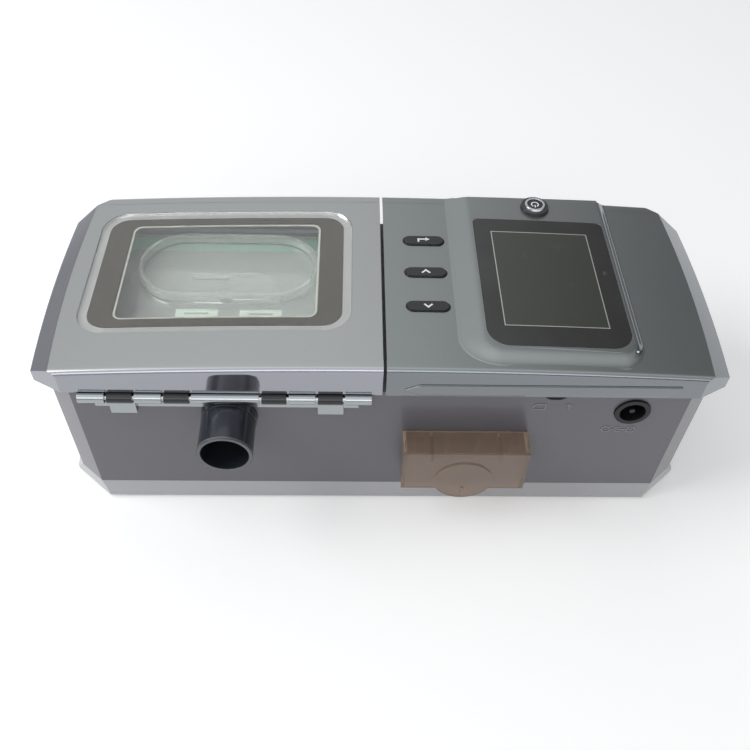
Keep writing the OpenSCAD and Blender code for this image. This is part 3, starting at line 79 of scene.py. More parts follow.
# Shares of the width of the surround's slopes at which their rows lie
SLOPE = [i / 12 for i in range(13)] + [1.04]


# --- Settings a user would change -------------------------------------------------------------------

def colour(name, description, default):
    """A linear colour property."""
    return FloatVectorProperty(
        name=name, description=description, subtype="COLOR", size=3, min=0.0, max=1.0, default=default
    )


def length(name, description, default):
    """A length property in metres."""
    return FloatProperty(
        name=name, description=description, subtype="DISTANCE", unit="LENGTH", min=0.0, default=default
    )


def angle(name, description, default):
    """An angle property, given in degrees."""
    return FloatProperty(name=name, description=description, subtype="ANGLE", default=math.radians(default))


def power(name, description, default):
    """A lamp's power in watts."""
    return FloatProperty(name=name, description=description, unit="POWER", min=0.0, default=default)


class MachineColours(bpy.types.PropertyGroup):
    """Colours of the mouldings and trim"""

    lid_paint: colour("Lid paint", "Silver-grey paint of the humidifier's lid", (0.395, 0.402, 0.398))
    lid_band: colour("Lid band", "Glossy paint on the lid's upright faces", (0.32, 0.325, 0.36))
    # The cover's paint and band are darker copies of the lid's paint: painted shade on the display half,
    # which lies away from the key light.
    cover_paint: colour("Cover paint with painted shade", "Paint of the display half's cover", (0.27, 0.285, 0.28))
    shaded_cover_band: colour("Cover band with painted shade", "Glossy paint on the cover's upright faces", (0.20, 0.215, 0.23))
    housing: colour("Housing", "Satin plastic of the lower housing", (0.130, 0.126, 0.145))
    tray: colour("Tray", "Light grey plastic of the tray and its skirt", (0.48, 0.48, 0.50))
    tube: colour("Outlet tube", "Blue-black plastic of the outlet tube", (0.018, 0.021, 0.030))
    border: colour("Window border", "Dark brown print round the window", (0.022, 0.015, 0.008))
    smoked: colour("Filter cover", "Smoked brown plastic of the filter cover", (0.44, 0.34, 0.27))
    clear: colour("Clear plastic", "Faint green of the tank and the window", (0.86, 0.94, 0.91))
    rim_tint: colour("Tank rim", "Green tint of the tank's upper wall", (0.28, 0.74, 0.55))
    marks: colour("Markings", "White of the printed signs on the buttons", (0.86, 0.87, 0.86))


class MachineDetails(bpy.types.PropertyGroup):
    """Sizes of the markings and trim that are not in the solids"""

    stroke: length("Sign stroke", "Line width of the signs on the buttons", 0.00075)
    print_height: length("Print height", "How far a printed sign stands proud", 0.00004)
    frame_line: length("Frame line", "Width of the silver line round the display", 0.00042)
    frame_length: length("Frame length", "Length of that line's rectangle, along the body", 0.0424)
    frame_width: length("Frame width", "Width of that rectangle, front to back", 0.0573)
    raised_stroke: length("Raised stroke", "Line width of the moulded signs at the back", 0.0006)
    raised_height: length("Raised height", "How far a moulded sign stands proud", 0.00022)
    lamp: length("Lamp", "Radius of the small lamp beside the display", 0.0005)
    edge: length("Edge radius", "Rounding that the light finds on the moulded edges", 0.0003)
    surround_rise: length("Surround rise", "Height of the display's surround above the cover", 0.002)
    surround_inner: length("Inner slope", "Width of the surround's slope on the buttons' side", 0.0105)
    surround_outer: length("Outer slope", "Width of the surround's slope on the end's side", 0.0038)
    surround_rear: length("Rear slope", "Width of the surround's slope at the back", 0.008)


class MachineStudio(bpy.types.PropertyGroup):
    """Camera and light"""

    camera: FloatVectorProperty(
        name="Camera", description="Place of the camera", subtype="TRANSLATION", unit="LENGTH", size=3,
        default=(0.013467, 0.257369, 0.334895),
    )
    pitch: angle("Pitch", "How far the camera looks down", 49.375)
    yaw: angle("Yaw", "Turn of the camera about the vertical", 2.5746)
    roll: angle("Roll", "Tilt of the camera", -2.4953)
    lens: FloatProperty(name="Lens", description="Focal length", unit="CAMERA", default=41.107)
    key: power("Key light", "Power of the large soft light", 11.0)
    fill: power("Fill light", "Power of the light behind the camera", 4.5)
    sky: FloatProperty(name="Sky", description="Level of the light from all round", default=0.62)
    floor: colour("Floor", "Pale floor", (0.84, 0.84, 0.84))


# --- Meshes -----------------------------------------------------------------------------------------

def add_piece(name, bm, body, material, smooth=30.0):
    """Links a bmesh as a piece that rides on a CAD body."""
    mesh = bpy.data.meshes.new(name)
    bmesh.ops.recalc_face_normals(bm, faces=bm.faces)
    bm.to_mesh(mesh)
    bm.free()
    piece = bpy.data.objects.new(name, mesh)
    bpy.context.scene.collection.objects.link(piece)
    mesh.materials.append(material)
    for face in mesh.polygons:
        face.use_smooth = True
    mesh.set_sharp_from_angle(angle=math.radians(smooth))
    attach(piece, body)
    return piece


def ribbon(bm, points, width, place, closed=False, height=None):
    """A flat line with mitred corners; place(u, v, lift) puts a point of the drawing into the frame."""
    height = height if height is not None else bpy.context.scene.machine_details.print_height
    pts = [Vector(p) for p in points]
    count = len(pts)
    sides = []
    for i, point in enumerate(pts):
        before = pts[i - 1] if (closed or i > 0) else None
        after = pts[(i + 1) % count] if (closed or i < count - 1) else None
        first = (point - before).normalized() if before is not None else (after - point).normalized()
        second = (after - point).normalized() if after is not None else first
        across = Vector((-(first.y + second.y), first.x + second.x))
        across = across.normalized() if across.length > 1e-6 else Vector((-first.y, first.x))
        reach = width / 2 / max(across.dot(Vector((-first.y, first.x))), 0.35)
        sides.append((point + across * reach, point - across * reach))
    rings = []
    for left, right in sides:
        rings.append([
            bm.verts.new(place(left.x, left.y, 0.0)), bm.verts.new(place(left.x, left.y, height)),
            bm.verts.new(place(right.x, right.y, height)), bm.verts.new(place(right.x, right.y, 0.0)),
        ])
    last = count if closed else count - 1
    for i in range(last):
        a, b = rings[i], rings[(i + 1) % count]
        for j in range(4):
            bm.faces.new((a[j], a[(j + 1) % 4], b[(j + 1) % 4], b[j]))
    if not closed:
        bm.faces.new(rings[0])
        bm.faces.new(list(reversed(rings[-1])))


def plate(bm, points, place, height):
    """A flat filled outline of a given height."""
    low = [bm.verts.new(place(x, y, 0.0)) for x, y in points]
    high = [bm.verts.new(place(x, y, height)) for x, y in points]
    bm.faces.new(list(reversed(low)))
    bm.faces.new(high)
    for i in range(len(points)):
        j = (i + 1) % len(points)
        bm.faces.new((low[i], low[j], high[j], high[i]))


def inset(points, distance):
    """A closed outline moved inward by a distance, with mitred corners."""
    out = []
    area = sum(a[0] * b[1] - b[0] * a[1] for a, b in zip(points, points[1:] + points[:1]))
    side = 1.0 if area > 0 else -1.0
    for before, here, after in zip(points[-1:] + points[:-1], points, points[1:] + points[:1]):
        first = (Vector(here) - Vector(before)).normalized()
        second = (Vector(after) - Vector(here)).normalized()
        across = Vector((-(first.y + second.y), first.x + second.x)).normalized() * side
        reach = distance / max(across.dot(Vector((-first.y, first.x)) * side), 0.35)
        out.append((here[0] + across.x * reach, here[1] + across.y * reach))
    return out


def raised(bm, points, place, height, radius, steps=5):
    """A raised plate with a rounded upper edge."""
    rings = [[bm.verts.new(place(x, y, 0.0)) for x, y in points]]
    for i in range(steps + 1):
        turn = math.radians(90 * i / steps)
        lift = height - radius * (1.0 - math.sin(turn))
        ring = inset(points, radius * (1.0 - math.cos(turn)) + 0.00001 * i)
        rings.append([bm.verts.new(place(x, y, lift)) for x, y in ring])
    for a, b in zip(rings, rings[1:]):
        for i in range(len(points)):
            j = (i + 1) % len(points)
            bm.faces.new((a[i], a[j], b[j], b[i]))
    bm.faces.new(rings[-1])


def divided(points, step):
    """A closed outline whose long sides are cut into short ones."""
    out = []
    for here, after in zip(points, points[1:] + points[:1]):
        count = max(1, math.ceil(math.dist(here, after) / step))
        out += [
            (here[0] + (after[0] - here[0]) * i / count, here[1] + (after[1] - here[1]) * i / count)
            for i in range(count)
        ]
    return out


def arc(x, y, radius, start, end, steps):
    """Points of an arc in degrees."""
    return [
        (x + radius * math.cos(math.radians(start + (end - start) * i / steps)),
         y + radius * math.sin(math.radians(start + (end - start) * i / steps)))
        for i in range(steps + 1)
    ]


def rounded(length_x, length_y, radius, steps=6):
    """Outline of a rectangle with round corners."""
    a, b = length_x / 2 - radius, length_y / 2 - radius
    out = []
    for x, y, start in ((a, b, 0), (-a, b, 90), (-a, -b, 180), (a, -b, 270)):
        out += arc(x, y, radius, start, start + 90, steps)
    return out


def turned(bm, profile, origin, axis, steps=48):
    """A body of revolution from points of (radius, distance along the axis); a radius of 0 closes it."""
    axis = Vector(axis).normalized()
    side = axis.orthogonal().normalized()
    other = axis.cross(side)
    rings = []
    for radius, along in profile:
        if radius <= 0:
            rings.append([bm.verts.new(Vector(origin) + axis * along)])
            continue
        rings.append([
            bm.verts.new(Vector(origin) + axis * along
                         + side * radius * math.cos(2 * math.pi * k / steps)
                         + other * radius * math.sin(2 * math.pi * k / steps))
            for k in range(steps)
        ])
    for a, b in zip(rings, rings[1:]):
        for k in range(steps):
            n = (k + 1) % steps
            corners = [a[k % len(a)], a[n % len(a)], b[n % len(b)], b[k % len(b)]]
            kept = []
            for c in corners:
                if c not in kept:
                    kept.append(c)
            if len(kept) > 2:
                bm.faces.new(kept)


def crown(x):
    """Height of the crowned top at a place along the body."""
    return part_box("lid_shell")[1].z - CROWN_RADIUS + math.sqrt(CROWN_RADIUS * CROWN_RADIUS - x * x)


def lying(x, y, z):
    """Drawing plane on a level surface at a height, as the user reads it."""
    return lambda u, v, lift: Vector((x + u, y + v, z + lift))


def on_back(x, y, z):
    """Drawing plane on the back wall, as someone behind the machine reads it."""
    return lambda u, v, lift: Vector((x - u, y + lift, z + v))


# --- Shader tools -----------------------------------------------------------------------------------

class Tree:
    """Short calls for building a node tree"""

    def __init__(self, tree):
        self.tree = tree
        self.nodes = tree.nodes

    def add(self, kind, **values):
        made = self.nodes.new(kind)
        for key, value in values.items():
            setattr(made, key, value)
        return made

    def put(self, socket, value):
        if isinstance(value, bpy.types.NodeSocket):
            self.tree.links.new(value, socket)
        else:
            socket.default_value = value

    def math(self, operation, a, b=0.0, clamp=False):
        made = self.add("ShaderNodeMath", operation=operation, use_clamp=clamp)
        self.put(made.inputs[0], a)
        self.put(made.inputs[1], b)
        return made.outputs[0]

    def span(self, value, low, high, to_low=0.0, to_high=1.0):
        """Value from low..high carried to to_low..to_high, held at the ends."""
        made = self.add("ShaderNodeMapRange", clamp=True)
        for socket, given in zip(made.inputs[:5], (value, low, high, to_low, to_high)):
            self.put(socket, given)
        return made.outputs[0]

    def scaled(self, vector, scale):
        made = self.add("ShaderNodeVectorMath", operation="MULTIPLY")
        self.put(made.inputs[0], vector)
        self.put(made.inputs[1], scale)
        return made.outputs[0]

    def noise(self, vector, scale, detail=3.0, roughness=0.55):
        made = self.add("ShaderNodeTexNoise")
        self.put(made.inputs["Vector"], vector)
        self.put(made.inputs["Scale"], scale)
        made.inputs["Detail"].default_value = detail
        made.inputs["Roughness"].default_value = roughness
        return made.outputs[0]

    def cells(self, vector, scale, feature="F1", out="Distance"):
        made = self.add("ShaderNodeTexVoronoi", feature=feature)
        self.put(made.inputs["Vector"], vector)
        self.put(made.inputs["Scale"], scale)
        return made.outputs[out]

    def blend(self, factor, a, b, kind="MIX"):
        made = self.add("ShaderNodeMix", data_type="RGBA", blend_type=kind)
        self.put(made.inputs[0], factor)
        for socket, value in ((made.inputs[6], a), (made.inputs[7], b)):
            self.put(socket, (*value, 1.0) if isinstance(value, (tuple, list)) and len(value) == 3 else value)
        return made.outputs[2]

    def split(self, vector):
        """The three parts of a vector."""
        made = self.add("ShaderNodeSeparateXYZ")
        self.put(made.inputs[0], vector)
        return made.outputs

    def shaded(self, base, level):
        """A colour made lighter or darker by a level that is 1 where nothing changes."""
        toned = self.add("ShaderNodeCombineColor")
        for socket in toned.inputs:
            self.put(socket, level)
        return self.blend(1.0, base, toned.outputs[0], "MULTIPLY")

    def varied(self, value, strength):
        """A noise between 0 and 1 turned into a change of the given size on either side of 0."""
        return self.math("MULTIPLY", self.math("SUBTRACT", value, 0.5), strength)

    def relief(self, height, distance):
        """A bump of a height in metres."""
        made = self.add("ShaderNodeBump")
        made.inputs["Distance"].default_value = distance
        self.put(made.inputs["Height"], height)
        return made

    def group(self, tree, **values):
        made = self.add("ShaderNodeGroup")
        made.node_tree = tree
        for key, value in values.items():
            self.put(made.inputs[key.replace("_", " ")], value)
        return made.outputs


def once(name):
    """Marks a function that builds a node group: the group is built once and handed out after that."""
    def wrap(build):
        def tree():
            if name not in bpy.data.node_groups:
                build(name)
            return bpy.data.node_groups[name]
        return tree
    return wrap


def start_group(name, inputs, outputs):
    """A new node group with named sockets, and its input and output nodes."""
    tree = bpy.data.node_groups.new(name, "ShaderNodeTree")
    for label, kind, default in inputs:
        socket = tree.interface.new_socket(name=label, in_out="INPUT", socket_type="NodeSocket" + kind)
        if kind != "Vector":
            socket.default_value = default
    for label, kind in outputs:
        tree.interface.new_socket(name=label, in_out="OUTPUT", socket_type="NodeSocket" + kind)
    t = Tree(tree)
    return t, t.add("NodeGroupInput").outputs, t.add("NodeGroupOutput").inputs


@once("Fine grain")
def fine_grain(name):
    """Spark-eroded mould texture: a fine shade, and a height for the bump."""
    t, given, out = start_group(
        name, [("Vector", "Vector", None), ("Scale", "Float", 2500.0), ("Contrast", "Float", 0.08)],
        [("Shade", "Float"), ("Height", "Float")],
    )
    speck = t.noise(given["Vector"], given["Scale"], detail=2.0, roughness=0.7)
    pits = t.cells(given["Vector"], given["Scale"])
    height = t.math("ADD", t.math("MULTIPLY", speck, 0.7), t.math("MULTIPLY", pits, 0.5))
    t.put(out["Height"], height)
    t.put(out["Shade"], t.math("ADD", 1.0, t.varied(speck, given["Contrast"])))


@once("Slow tone")
def slow_tone(name):
    """Slow changes of tone and gloss over a moulding, from flow of the plastic and from handling."""
    t, given, out = start_group(
        name, [("Vector", "Vector", None), ("Scale", "Float", 18.0), ("Strength", "Float", 0.08)],
        [("Shade", "Float"), ("Gloss", "Float")],
    )
    slow = t.noise(given["Vector"], given["Scale"], detail=4.0)
    t.put(out["Shade"], t.math("ADD", 1.0, t.varied(slow, given["Strength"])))
    rubbed = t.noise(given["Vector"], t.math("MULTIPLY", given["Scale"], 3.7), detail=6.0, roughness=0.65)
    t.put(out["Gloss"], t.varied(rubbed, given["Strength"]))


@once("Edge wear")
def edge_wear(name):
    """Mask of rubbed edges, broken up by noise."""
    t, given, out = start_group(
        name, [("Vector", "Vector", None), ("Amount", "Float", 0.4)], [("Mask", "Float")]
    )
    rounding = t.add("ShaderNodeBevel", samples=4)
    rounding.inputs["Radius"].default_value = 0.5 * MM
    turn = t.add("ShaderNodeVectorMath", operation="DOT_PRODUCT")
    t.put(turn.inputs[0], rounding.outputs[0])
    t.put(turn.inputs[1], t.add("ShaderNodeNewGeometry").outputs["Normal"])
    sharp = t.span(turn.outputs["Value"], 0.98, 0.80)
    broken = t.span(t.noise(given["Vector"], 420.0, detail=5.0, roughness=0.7), 0.42, 0.62)
    t.put(out["Mask"], t.math("MULTIPLY", t.math("MULTIPLY", sharp, broken), given["Amount"]))


@once("Settled dust")
def settled_dust(name):
    """Mask of fine dust, thicker on surfaces that face up."""
    t, given, out = start_group(
        name, [("Vector", "Vector", None), ("Normal", "Vector", None), ("Amount", "Float", 0.05)],
        [("Mask", "Float")],
    )
    level = t.span(t.split(given["Normal"])[2], 0.2, 0.95)
    specks = t.span(t.noise(given["Vector"], 1900.0, detail=2.0, roughness=0.8), 0.60, 0.74)
    film = t.span(t.noise(given["Vector"], 35.0, detail=4.0), 0.35, 0.75, 0.15, 0.6)
    cover = t.math("MULTIPLY", level, t.math("ADD", specks, film))
    t.put(out["Mask"], t.math("MULTIPLY", cover, given["Amount"]))


@once("Metal flake")
def metal_flake(name):
    """Flakes in metallic paint: small facets of slightly different brightness."""
    t, given, out = start_group(
        name, [("Vector", "Vector", None), ("Scale", "Float", 6500.0), ("Sparkle", "Float", 0.12)],
        [("Shade", "Float"), ("Height", "Float")],
    )
    flake = t.cells(given["Vector"], given["Scale"], out="Color")
    grey = t.add("ShaderNodeSeparateColor")
    t.put(grey.inputs[0], flake)
    t.put(out["Shade"], t.math("ADD", 1.0, t.varied(grey.outputs[0], given["Sparkle"])))
    t.put(out["Height"], t.noise(given["Vector"], 900.0, detail=2.0))


@once("Drawn lines")
def drawn_lines(name):
    """Fine drawn lines of a brushed or turned metal, along one direction."""
    t, given, out = start_group(
        name, [("Vector", "Vector", None), ("Scale", "Float", 900.0), ("Strength", "Float", 0.2)],
        [("Shade", "Float"), ("Height", "Float")],
    )
    long = t.scaled(given["Vector"], (0.03, 1.0, 1.0))
    lines = t.noise(long, given["Scale"], detail=5.0, roughness=0.7)
    t.put(out["Height"], lines)
    t.put(out["Shade"], t.math("ADD", 1.0, t.varied(lines, given["Strength"])))


@once("Foam cells")
def foam_cells(name):
    """Open cells of foam: dark pores and a height."""
    t, given, out = start_group(
        name, [("Vector", "Vector", None), ("Scale", "Float", 1100.0)],
        [("Shade", "Float"), ("Height", "Float")],
    )
    pores = t.cells(given["Vector"], given["Scale"])
    t.put(out["Shade"], t.span(pores, 0.1, 0.75, 1.25, 0.35))
    t.put(out["Height"], t.math("SUBTRACT", 1.0, pores))


@once("Board tracks")
def board_tracks(name):
    """Copper tracks under solder mask, and a height for the bump."""
    t, given, out = start_group(
        name, [("Vector", "Vector", None), ("Scale", "Float", 330.0)],
        [("Track", "Float"), ("Height", "Float")],
    )
    brick = t.add("ShaderNodeTexBrick", offset=0.37, squash=0.6, squash_frequency=3)
    t.put(brick.inputs["Vector"], given["Vector"])
    t.put(brick.inputs["Scale"], given["Scale"])
    brick.inputs["Mortar Size"].default_value = 0.06
    brick.inputs["Mortar Smooth"].default_value = 0.2
    t.put(out["Track"], brick.outputs["Fac"])
    t.put(out["Height"], brick.outputs["Fac"])


def shade(name, base, rough, metallic=0.0, coat=0.0, coat_rough=0.04, specular=0.5, transmission=0.0, ior=1.5,
          alpha=1.0, grain=0.05, grain_scale=2600.0, bump=0.00002, tone=0.06, wear=0.0, wear_colour=None,
          dust=0.03, flake=0.0, lines=0.0, gloss=0.4, soft=True):
    """A procedural finish: base colour with grain, slow tone, edge wear and dust over it."""
    if name in bpy.data.materials:
        return bpy.data.materials[name], None, None
    material = bpy.data.materials.new(name)
    material.use_nodes = True
    t = Tree(material.node_tree)
    surface = material.node_tree.nodes["Principled BSDF"]
    place = t.add("ShaderNodeTexCoord")
    where, facing = place.outputs["Object"], place.outputs["Normal"]
    surface.inputs["Metallic"].default_value = metallic
    surface.inputs["Coat Weight"].default_value = coat
    surface.inputs["Coat Roughness"].default_value = coat_rough
    surface.inputs["Specular IOR Level"].default_value = specular
    surface.inputs["Transmission Weight"].default_value = transmission
    surface.inputs["IOR"].default_value = ior
    surface.inputs["Alpha"].default_value = alpha
    slow = t.group(slow_tone(), Vector=where, Strength=tone)
    fine = t.group(fine_grain(), Vector=where, Scale=grain_scale, Contrast=grain)
    level = t.math("MULTIPLY", slow["Shade"], fine["Shade"])
    height = fine["Height"]
    if flake:
        sparkle = t.group(metal_flake(), Vector=where, Sparkle=flake)
        level = t.math("MULTIPLY", level, sparkle["Shade"])
        height = sparkle["Height"]
    if lines:
        drawn = t.group(drawn_lines(), Vector=where, Strength=lines)
        level = t.math("MULTIPLY", level, drawn["Shade"])
        height = drawn["Height"]
    tint = t.shaded(base, level)
    if wear:
        rubbed = t.group(edge_wear(), Vector=where, Amount=wear)["Mask"]
        tint = t.blend(rubbed, tint, wear_colour or tuple(min(1.0, c * 1.8 + 0.04) for c in base))
    if dust:
        film = t.group(settled_dust(), Vector=where, Normal=facing, Amount=dust)["Mask"]
        tint = t.blend(film, tint, (0.55, 0.54, 0.52))
    t.put(surface.inputs["Base Color"], tint)
    rubbed = t.math("MULTIPLY", slow["Gloss"], gloss)
    t.put(surface.inputs["Roughness"], t.math("ADD", rough, rubbed, clamp=True))
    if bump:
        relief = t.relief(height, bump)
        if soft:
            rounding = t.add("ShaderNodeBevel", samples=4)
            rounding.inputs["Radius"].default_value = bpy.context.scene.machine_details.edge
            t.put(relief.inputs["Normal"], rounding.outputs[0])
        t.put(surface.inputs["Normal"], relief.outputs[0])
        if coat:
            t.put(surface.inputs["Coat Normal"], relief.outputs[0])
    return material, t, surface


def linked(surface, name):
    """What feeds one of a shader's sockets."""
    return surface.inputs[name].links[0].from_socket


def paint(name, base, band):
    """Metallic paint: satin on the top, glossy on the faces that slope or stand upright, which take a colour
    of their own; the cover's two colours are darker copies of the lid's paint, painted shade.
    """
    material, t, surface = shade(name, base, 0.30, metallic=0.86, coat=0.12, coat_rough=0.10, grain=0.02,
                                 bump=0.000003, tone=0.02, wear=0.10, dust=0.03, flake=0.10, gloss=1.0)
    if t is None:
        return material
    upright = t.span(t.split(t.add("ShaderNodeTexCoord").outputs["Normal"])[2], 0.90, 0.87)
    t.put(surface.inputs["Base Color"], t.blend(upright, linked(surface, "Base Color"), band))
    t.put(surface.inputs["Roughness"], t.span(upright, 0.0, 1.0, linked(surface, "Roughness"), 0.07))
    return material


def satin(name, base, rough=0.42, wear=0.3, bump=0.000003, coat=0.0):
    """Satin moulded plastic."""
    return shade(name, base, rough, grain=0.03, grain_scale=2200.0, bump=bump, tone=0.04, wear=wear,
                 dust=0.025, coat=coat)[0]


def gloss(name, base, rough=0.14):
    """Glossy moulded plastic."""
    return shade(name, base, rough, grain=0.03, bump=0.000001, tone=0.06, wear=0.08, dust=0.02,
                 coat=0.15, specular=0.4)[0]


def plated(name, base=(0.72, 0.73, 0.75), rough=0.12):
    """Bright plating with a few drawn lines."""
    return shade(name, base, rough, metallic=1.0, grain=0.02, bump=0.000002, tone=0.08, dust=0.02,
                 lines=0.05)[0]


def steel(name, base=(0.52, 0.52, 0.53), rough=0.3, lines=0.25):
    """Drawn or turned steel."""
    return shade(name, base, rough, metallic=1.0, grain=0.04, bump=0.000004, tone=0.10, dust=0.02,
                 lines=lines)[0]


def clear(name, base, rough=0.03, transmission=0.96, ior=1.46, passing=None, **more):
    """Clear moulded plastic; the lamps reach what stands behind it."""
    values = dict(grain=0.01, bump=0.0000004, tone=0.02, dust=0.01)
    values.update(more)
    material, t, surface = shade(name, base, rough, transmission=transmission, ior=ior, **values)
    if t is not None:
        bare = t.add("ShaderNodeBsdfTransparent")
        bare.inputs["Color"].default_value = (*(passing or base), 1.0)
        through = t.add("ShaderNodeMixShader")
        t.put(through.inputs[0], t.add("ShaderNodeLightPath").outputs["Is Shadow Ray"])
        t.put(through.inputs[1], surface.outputs[0])
        t.put(through.inputs[2], bare.outputs[0])
        t.put(t.nodes["Material Output"].inputs["Surface"], through.outputs[0])
    return material, t, surface


def rubber(name, base):
    """Matt rubber or silicone."""
    return shade(name, base, 0.72, grain=0.18, grain_scale=1600.0, bump=0.00003, tone=0.14, wear=0.2,
                 dust=0.08)[0]


def dress(names, material):
    """Gives CAD nodes a finish."""
    for name in names:
        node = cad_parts[name]
        if not node.material_slots:
            node.data.materials.append(material)
        for slot in node.material_slots:
            slot.material = material


# --- Operators --------------------------------------------------------------------------------------

class Step(bpy.types.Operator):
    """Shared base of the steps"""

    bl_options = {"REGISTER", "UNDO"}


class MACHINE_OT_studio(Step):
    """Floor, light and the camera at the photograph's angle"""

    bl_idname = "machine.studio"
    bl_label = "Studio"

    def execute(self, context):
        studio = context.scene.machine_studio
        self.make_camera(context, studio)
        self.make_floor(studio)
        self.make_world(context, studio)
        self.make_light("Key", (1.0, 0.10, 0.95), (0.9, 0.9), studio.key)
        self.make_light("Fill", (0.10, 1.1, 0.8), (2.3, 0.5), studio.fill)
        context.scene.view_settings.view_transform = "Standard"
        return {"FINISHED"}

    def make_camera(self, context, studio):
        yaw, pitch, roll = studio.yaw, studio.pitch, studio.roll
        ahead = Vector((-math.sin(yaw) * math.cos(pitch), -math.cos(yaw) * math.cos(pitch), -math.sin(pitch)))
        right = Vector((-math.cos(yaw), math.sin(yaw), 0.0))
        down = ahead.cross(right)
        across = math.cos(roll) * right + math.sin(roll) * down
        below = -math.sin(roll) * right + math.cos(roll) * down
        data = bpy.data.cameras.new("Camera")
        data.lens = studio.lens
        data.sensor_width = 36.0
        data.clip_start, data.clip_end = 0.01, 20.0
        camera = bpy.data.objects.new("Camera", data)
        context.scene.collection.objects.link(camera)
        turn = Matrix((across, -below, -ahead)).transposed().to_4x4()
        camera.matrix_world = Matrix.Translation(Vector(studio.camera)) @ turn
        context.scene.camera = camera

    def make_light(self, name, place, size, watts):
        data = bpy.data.lights.new(name, "AREA")
        data.shape = "ELLIPSE"
        data.size, data.size_y = size
        data.energy = watts
        light = bpy.data.objects.new(name, data)
        bpy.context.scene.collection.objects.link(light)
        light.location = place
        light.rotation_mode = "QUATERNION"
        light.rotation_quaternion = (Vector((0.0, 0.0, 0.03)) - Vector(place)).to_track_quat("-Z", "Y")

    def make_floor(self, studio):
        bm = bmesh.new()
        bmesh.ops.create_grid(bm, x_segments=24, y_segments=24, size=4.0)
        mesh = bpy.data.meshes.new("Floor")
        bm.to_mesh(mesh)
        bm.free()
        floor = bpy.data.objects.new("Floor", mesh)
        bpy.context.scene.collection.objects.link(floor)
        floor.location.z = -0.00005
        material = bpy.data.materials.new("Pale paper")
        material.use_nodes = True
        t = Tree(material.node_tree)
        surface = t.nodes["Principled BSDF"]
        surface.inputs["Specular IOR Level"].default_value = 0.1
        surface.inputs["Roughness"].default_value = 0.9
        where = t.add("ShaderNodeTexCoord").outputs["Object"]
        fibre = t.span(t.noise(where, 900.0, detail=4.0), 0.3, 0.7, 0.985, 1.0)
        t.put(surface.inputs["Base Color"], t.shaded(tuple(studio.floor), fibre))
        ray = t.add("ShaderNodeLightPath").outputs
        beside = t.span(t.split(where)[0], -0.25, 0.55, 0.55, 0.08)
        mirrored = t.math("MULTIPLY", ray["Is Glossy Ray"], beside)
        distance = t.add("ShaderNodeVectorMath", operation="LENGTH")
        t.put(distance.inputs[0], where)
        paper = t.span(distance.outputs["Value"], 0.55, 1.2, 0.30, 1.0)
        seen = t.math("MULTIPLY", t.math("MAXIMUM", ray["Is Camera Ray"], ray["Is Transmission Ray"]), paper)
        surface.inputs["Emission Color"].default_value = (1.0, 1.0, 1.0, 1.0)
        t.put(surface.inputs["Emission Strength"], t.math("MAXIMUM", seen, mirrored))
        mesh.materials.append(material)

    def make_world(self, context, studio):
        world = bpy.data.worlds.new("Studio")
        context.scene.world = world
        world.use_nodes = True
        t = Tree(world.node_tree)
        out = t.nodes["World Output"]
        room = t.nodes["Background"]
        x, y, z = t.split(t.add("ShaderNodeTexCoord").outputs["Generated"])
        sideways = t.span(x, -0.42, -0.04, 0.20, 1.0)
        level = t.math("MULTIPLY", sideways, t.span(x, 0.42, 0.70, 1.0, 0.35))
        front = t.span(y, 0.2, -0.5, 0.75, 1.6)
        rising = t.span(z, 0.60, 0.76, 0.84, 1.06)
        level = t.math("MULTIPLY", t.math("MULTIPLY", t.math("MULTIPLY", level, front), rising), studio.sky)
        ray = t.add("ShaderNodeLightPath").outputs
        overhead = t.math("MULTIPLY", t.span(y, -0.42, 0.05), t.span(z, 0.22, 0.42))
        glossy = t.math("MULTIPLY", overhead, ray["Is Glossy Ray"])
        level = t.math("ADD", level, t.math("MULTIPLY", glossy, 0.85))
        room.inputs["Color"].default_value = (0.95, 0.98, 1.0, 1.0)
        t.put(room.inputs["Strength"], level)
        paper = t.add("ShaderNodeBackground")
        paper.inputs["Color"].default_value = (1.0, 1.0, 1.0, 1.0)
        paper.inputs["Strength"].default_value = 1.0
        low = t.math("MULTIPLY", t.span(z, 0.08, 0.20, 1.0, 0.0), t.span(x, 0.35, 0.60, 1.0, 0.25))
        near = t.math("MULTIPLY", ray["Is Glossy Ray"], low)
        seen = t.math("MAXIMUM", t.math("MAXIMUM", ray["Is Camera Ray"], near), ray["Is Transmission Ray"])
        mix = t.add("ShaderNodeMixShader")
        t.put(mix.inputs[0], seen)
        t.put(mix.inputs[1], room.outputs[0])
        t.put(mix.inputs[2], paper.outputs[0])
        t.put(out.inputs["Surface"], mix.outputs[0])


class MACHINE_OT_covers(Step):
    """Painted lid and cover"""

    bl_idname = "machine.covers"
    bl_label = "Painted covers"

    def execute(self, context):
        colours = context.scene.machine_colours
        dress(["lid_shell"], paint("Lid paint", tuple(colours.lid_paint), tuple(colours.lid_band)))
        # The cover takes the darker copy of the lid's paint: painted shade.
        dress(["top_cover"], paint("Cover paint with painted shade", tuple(colours.cover_paint), tuple(colours.shaded_cover_band)))
        dress(["lid_liner"], satin("Liner plastic", (0.16, 0.165, 0.18)))
        return {"FINISHED"}


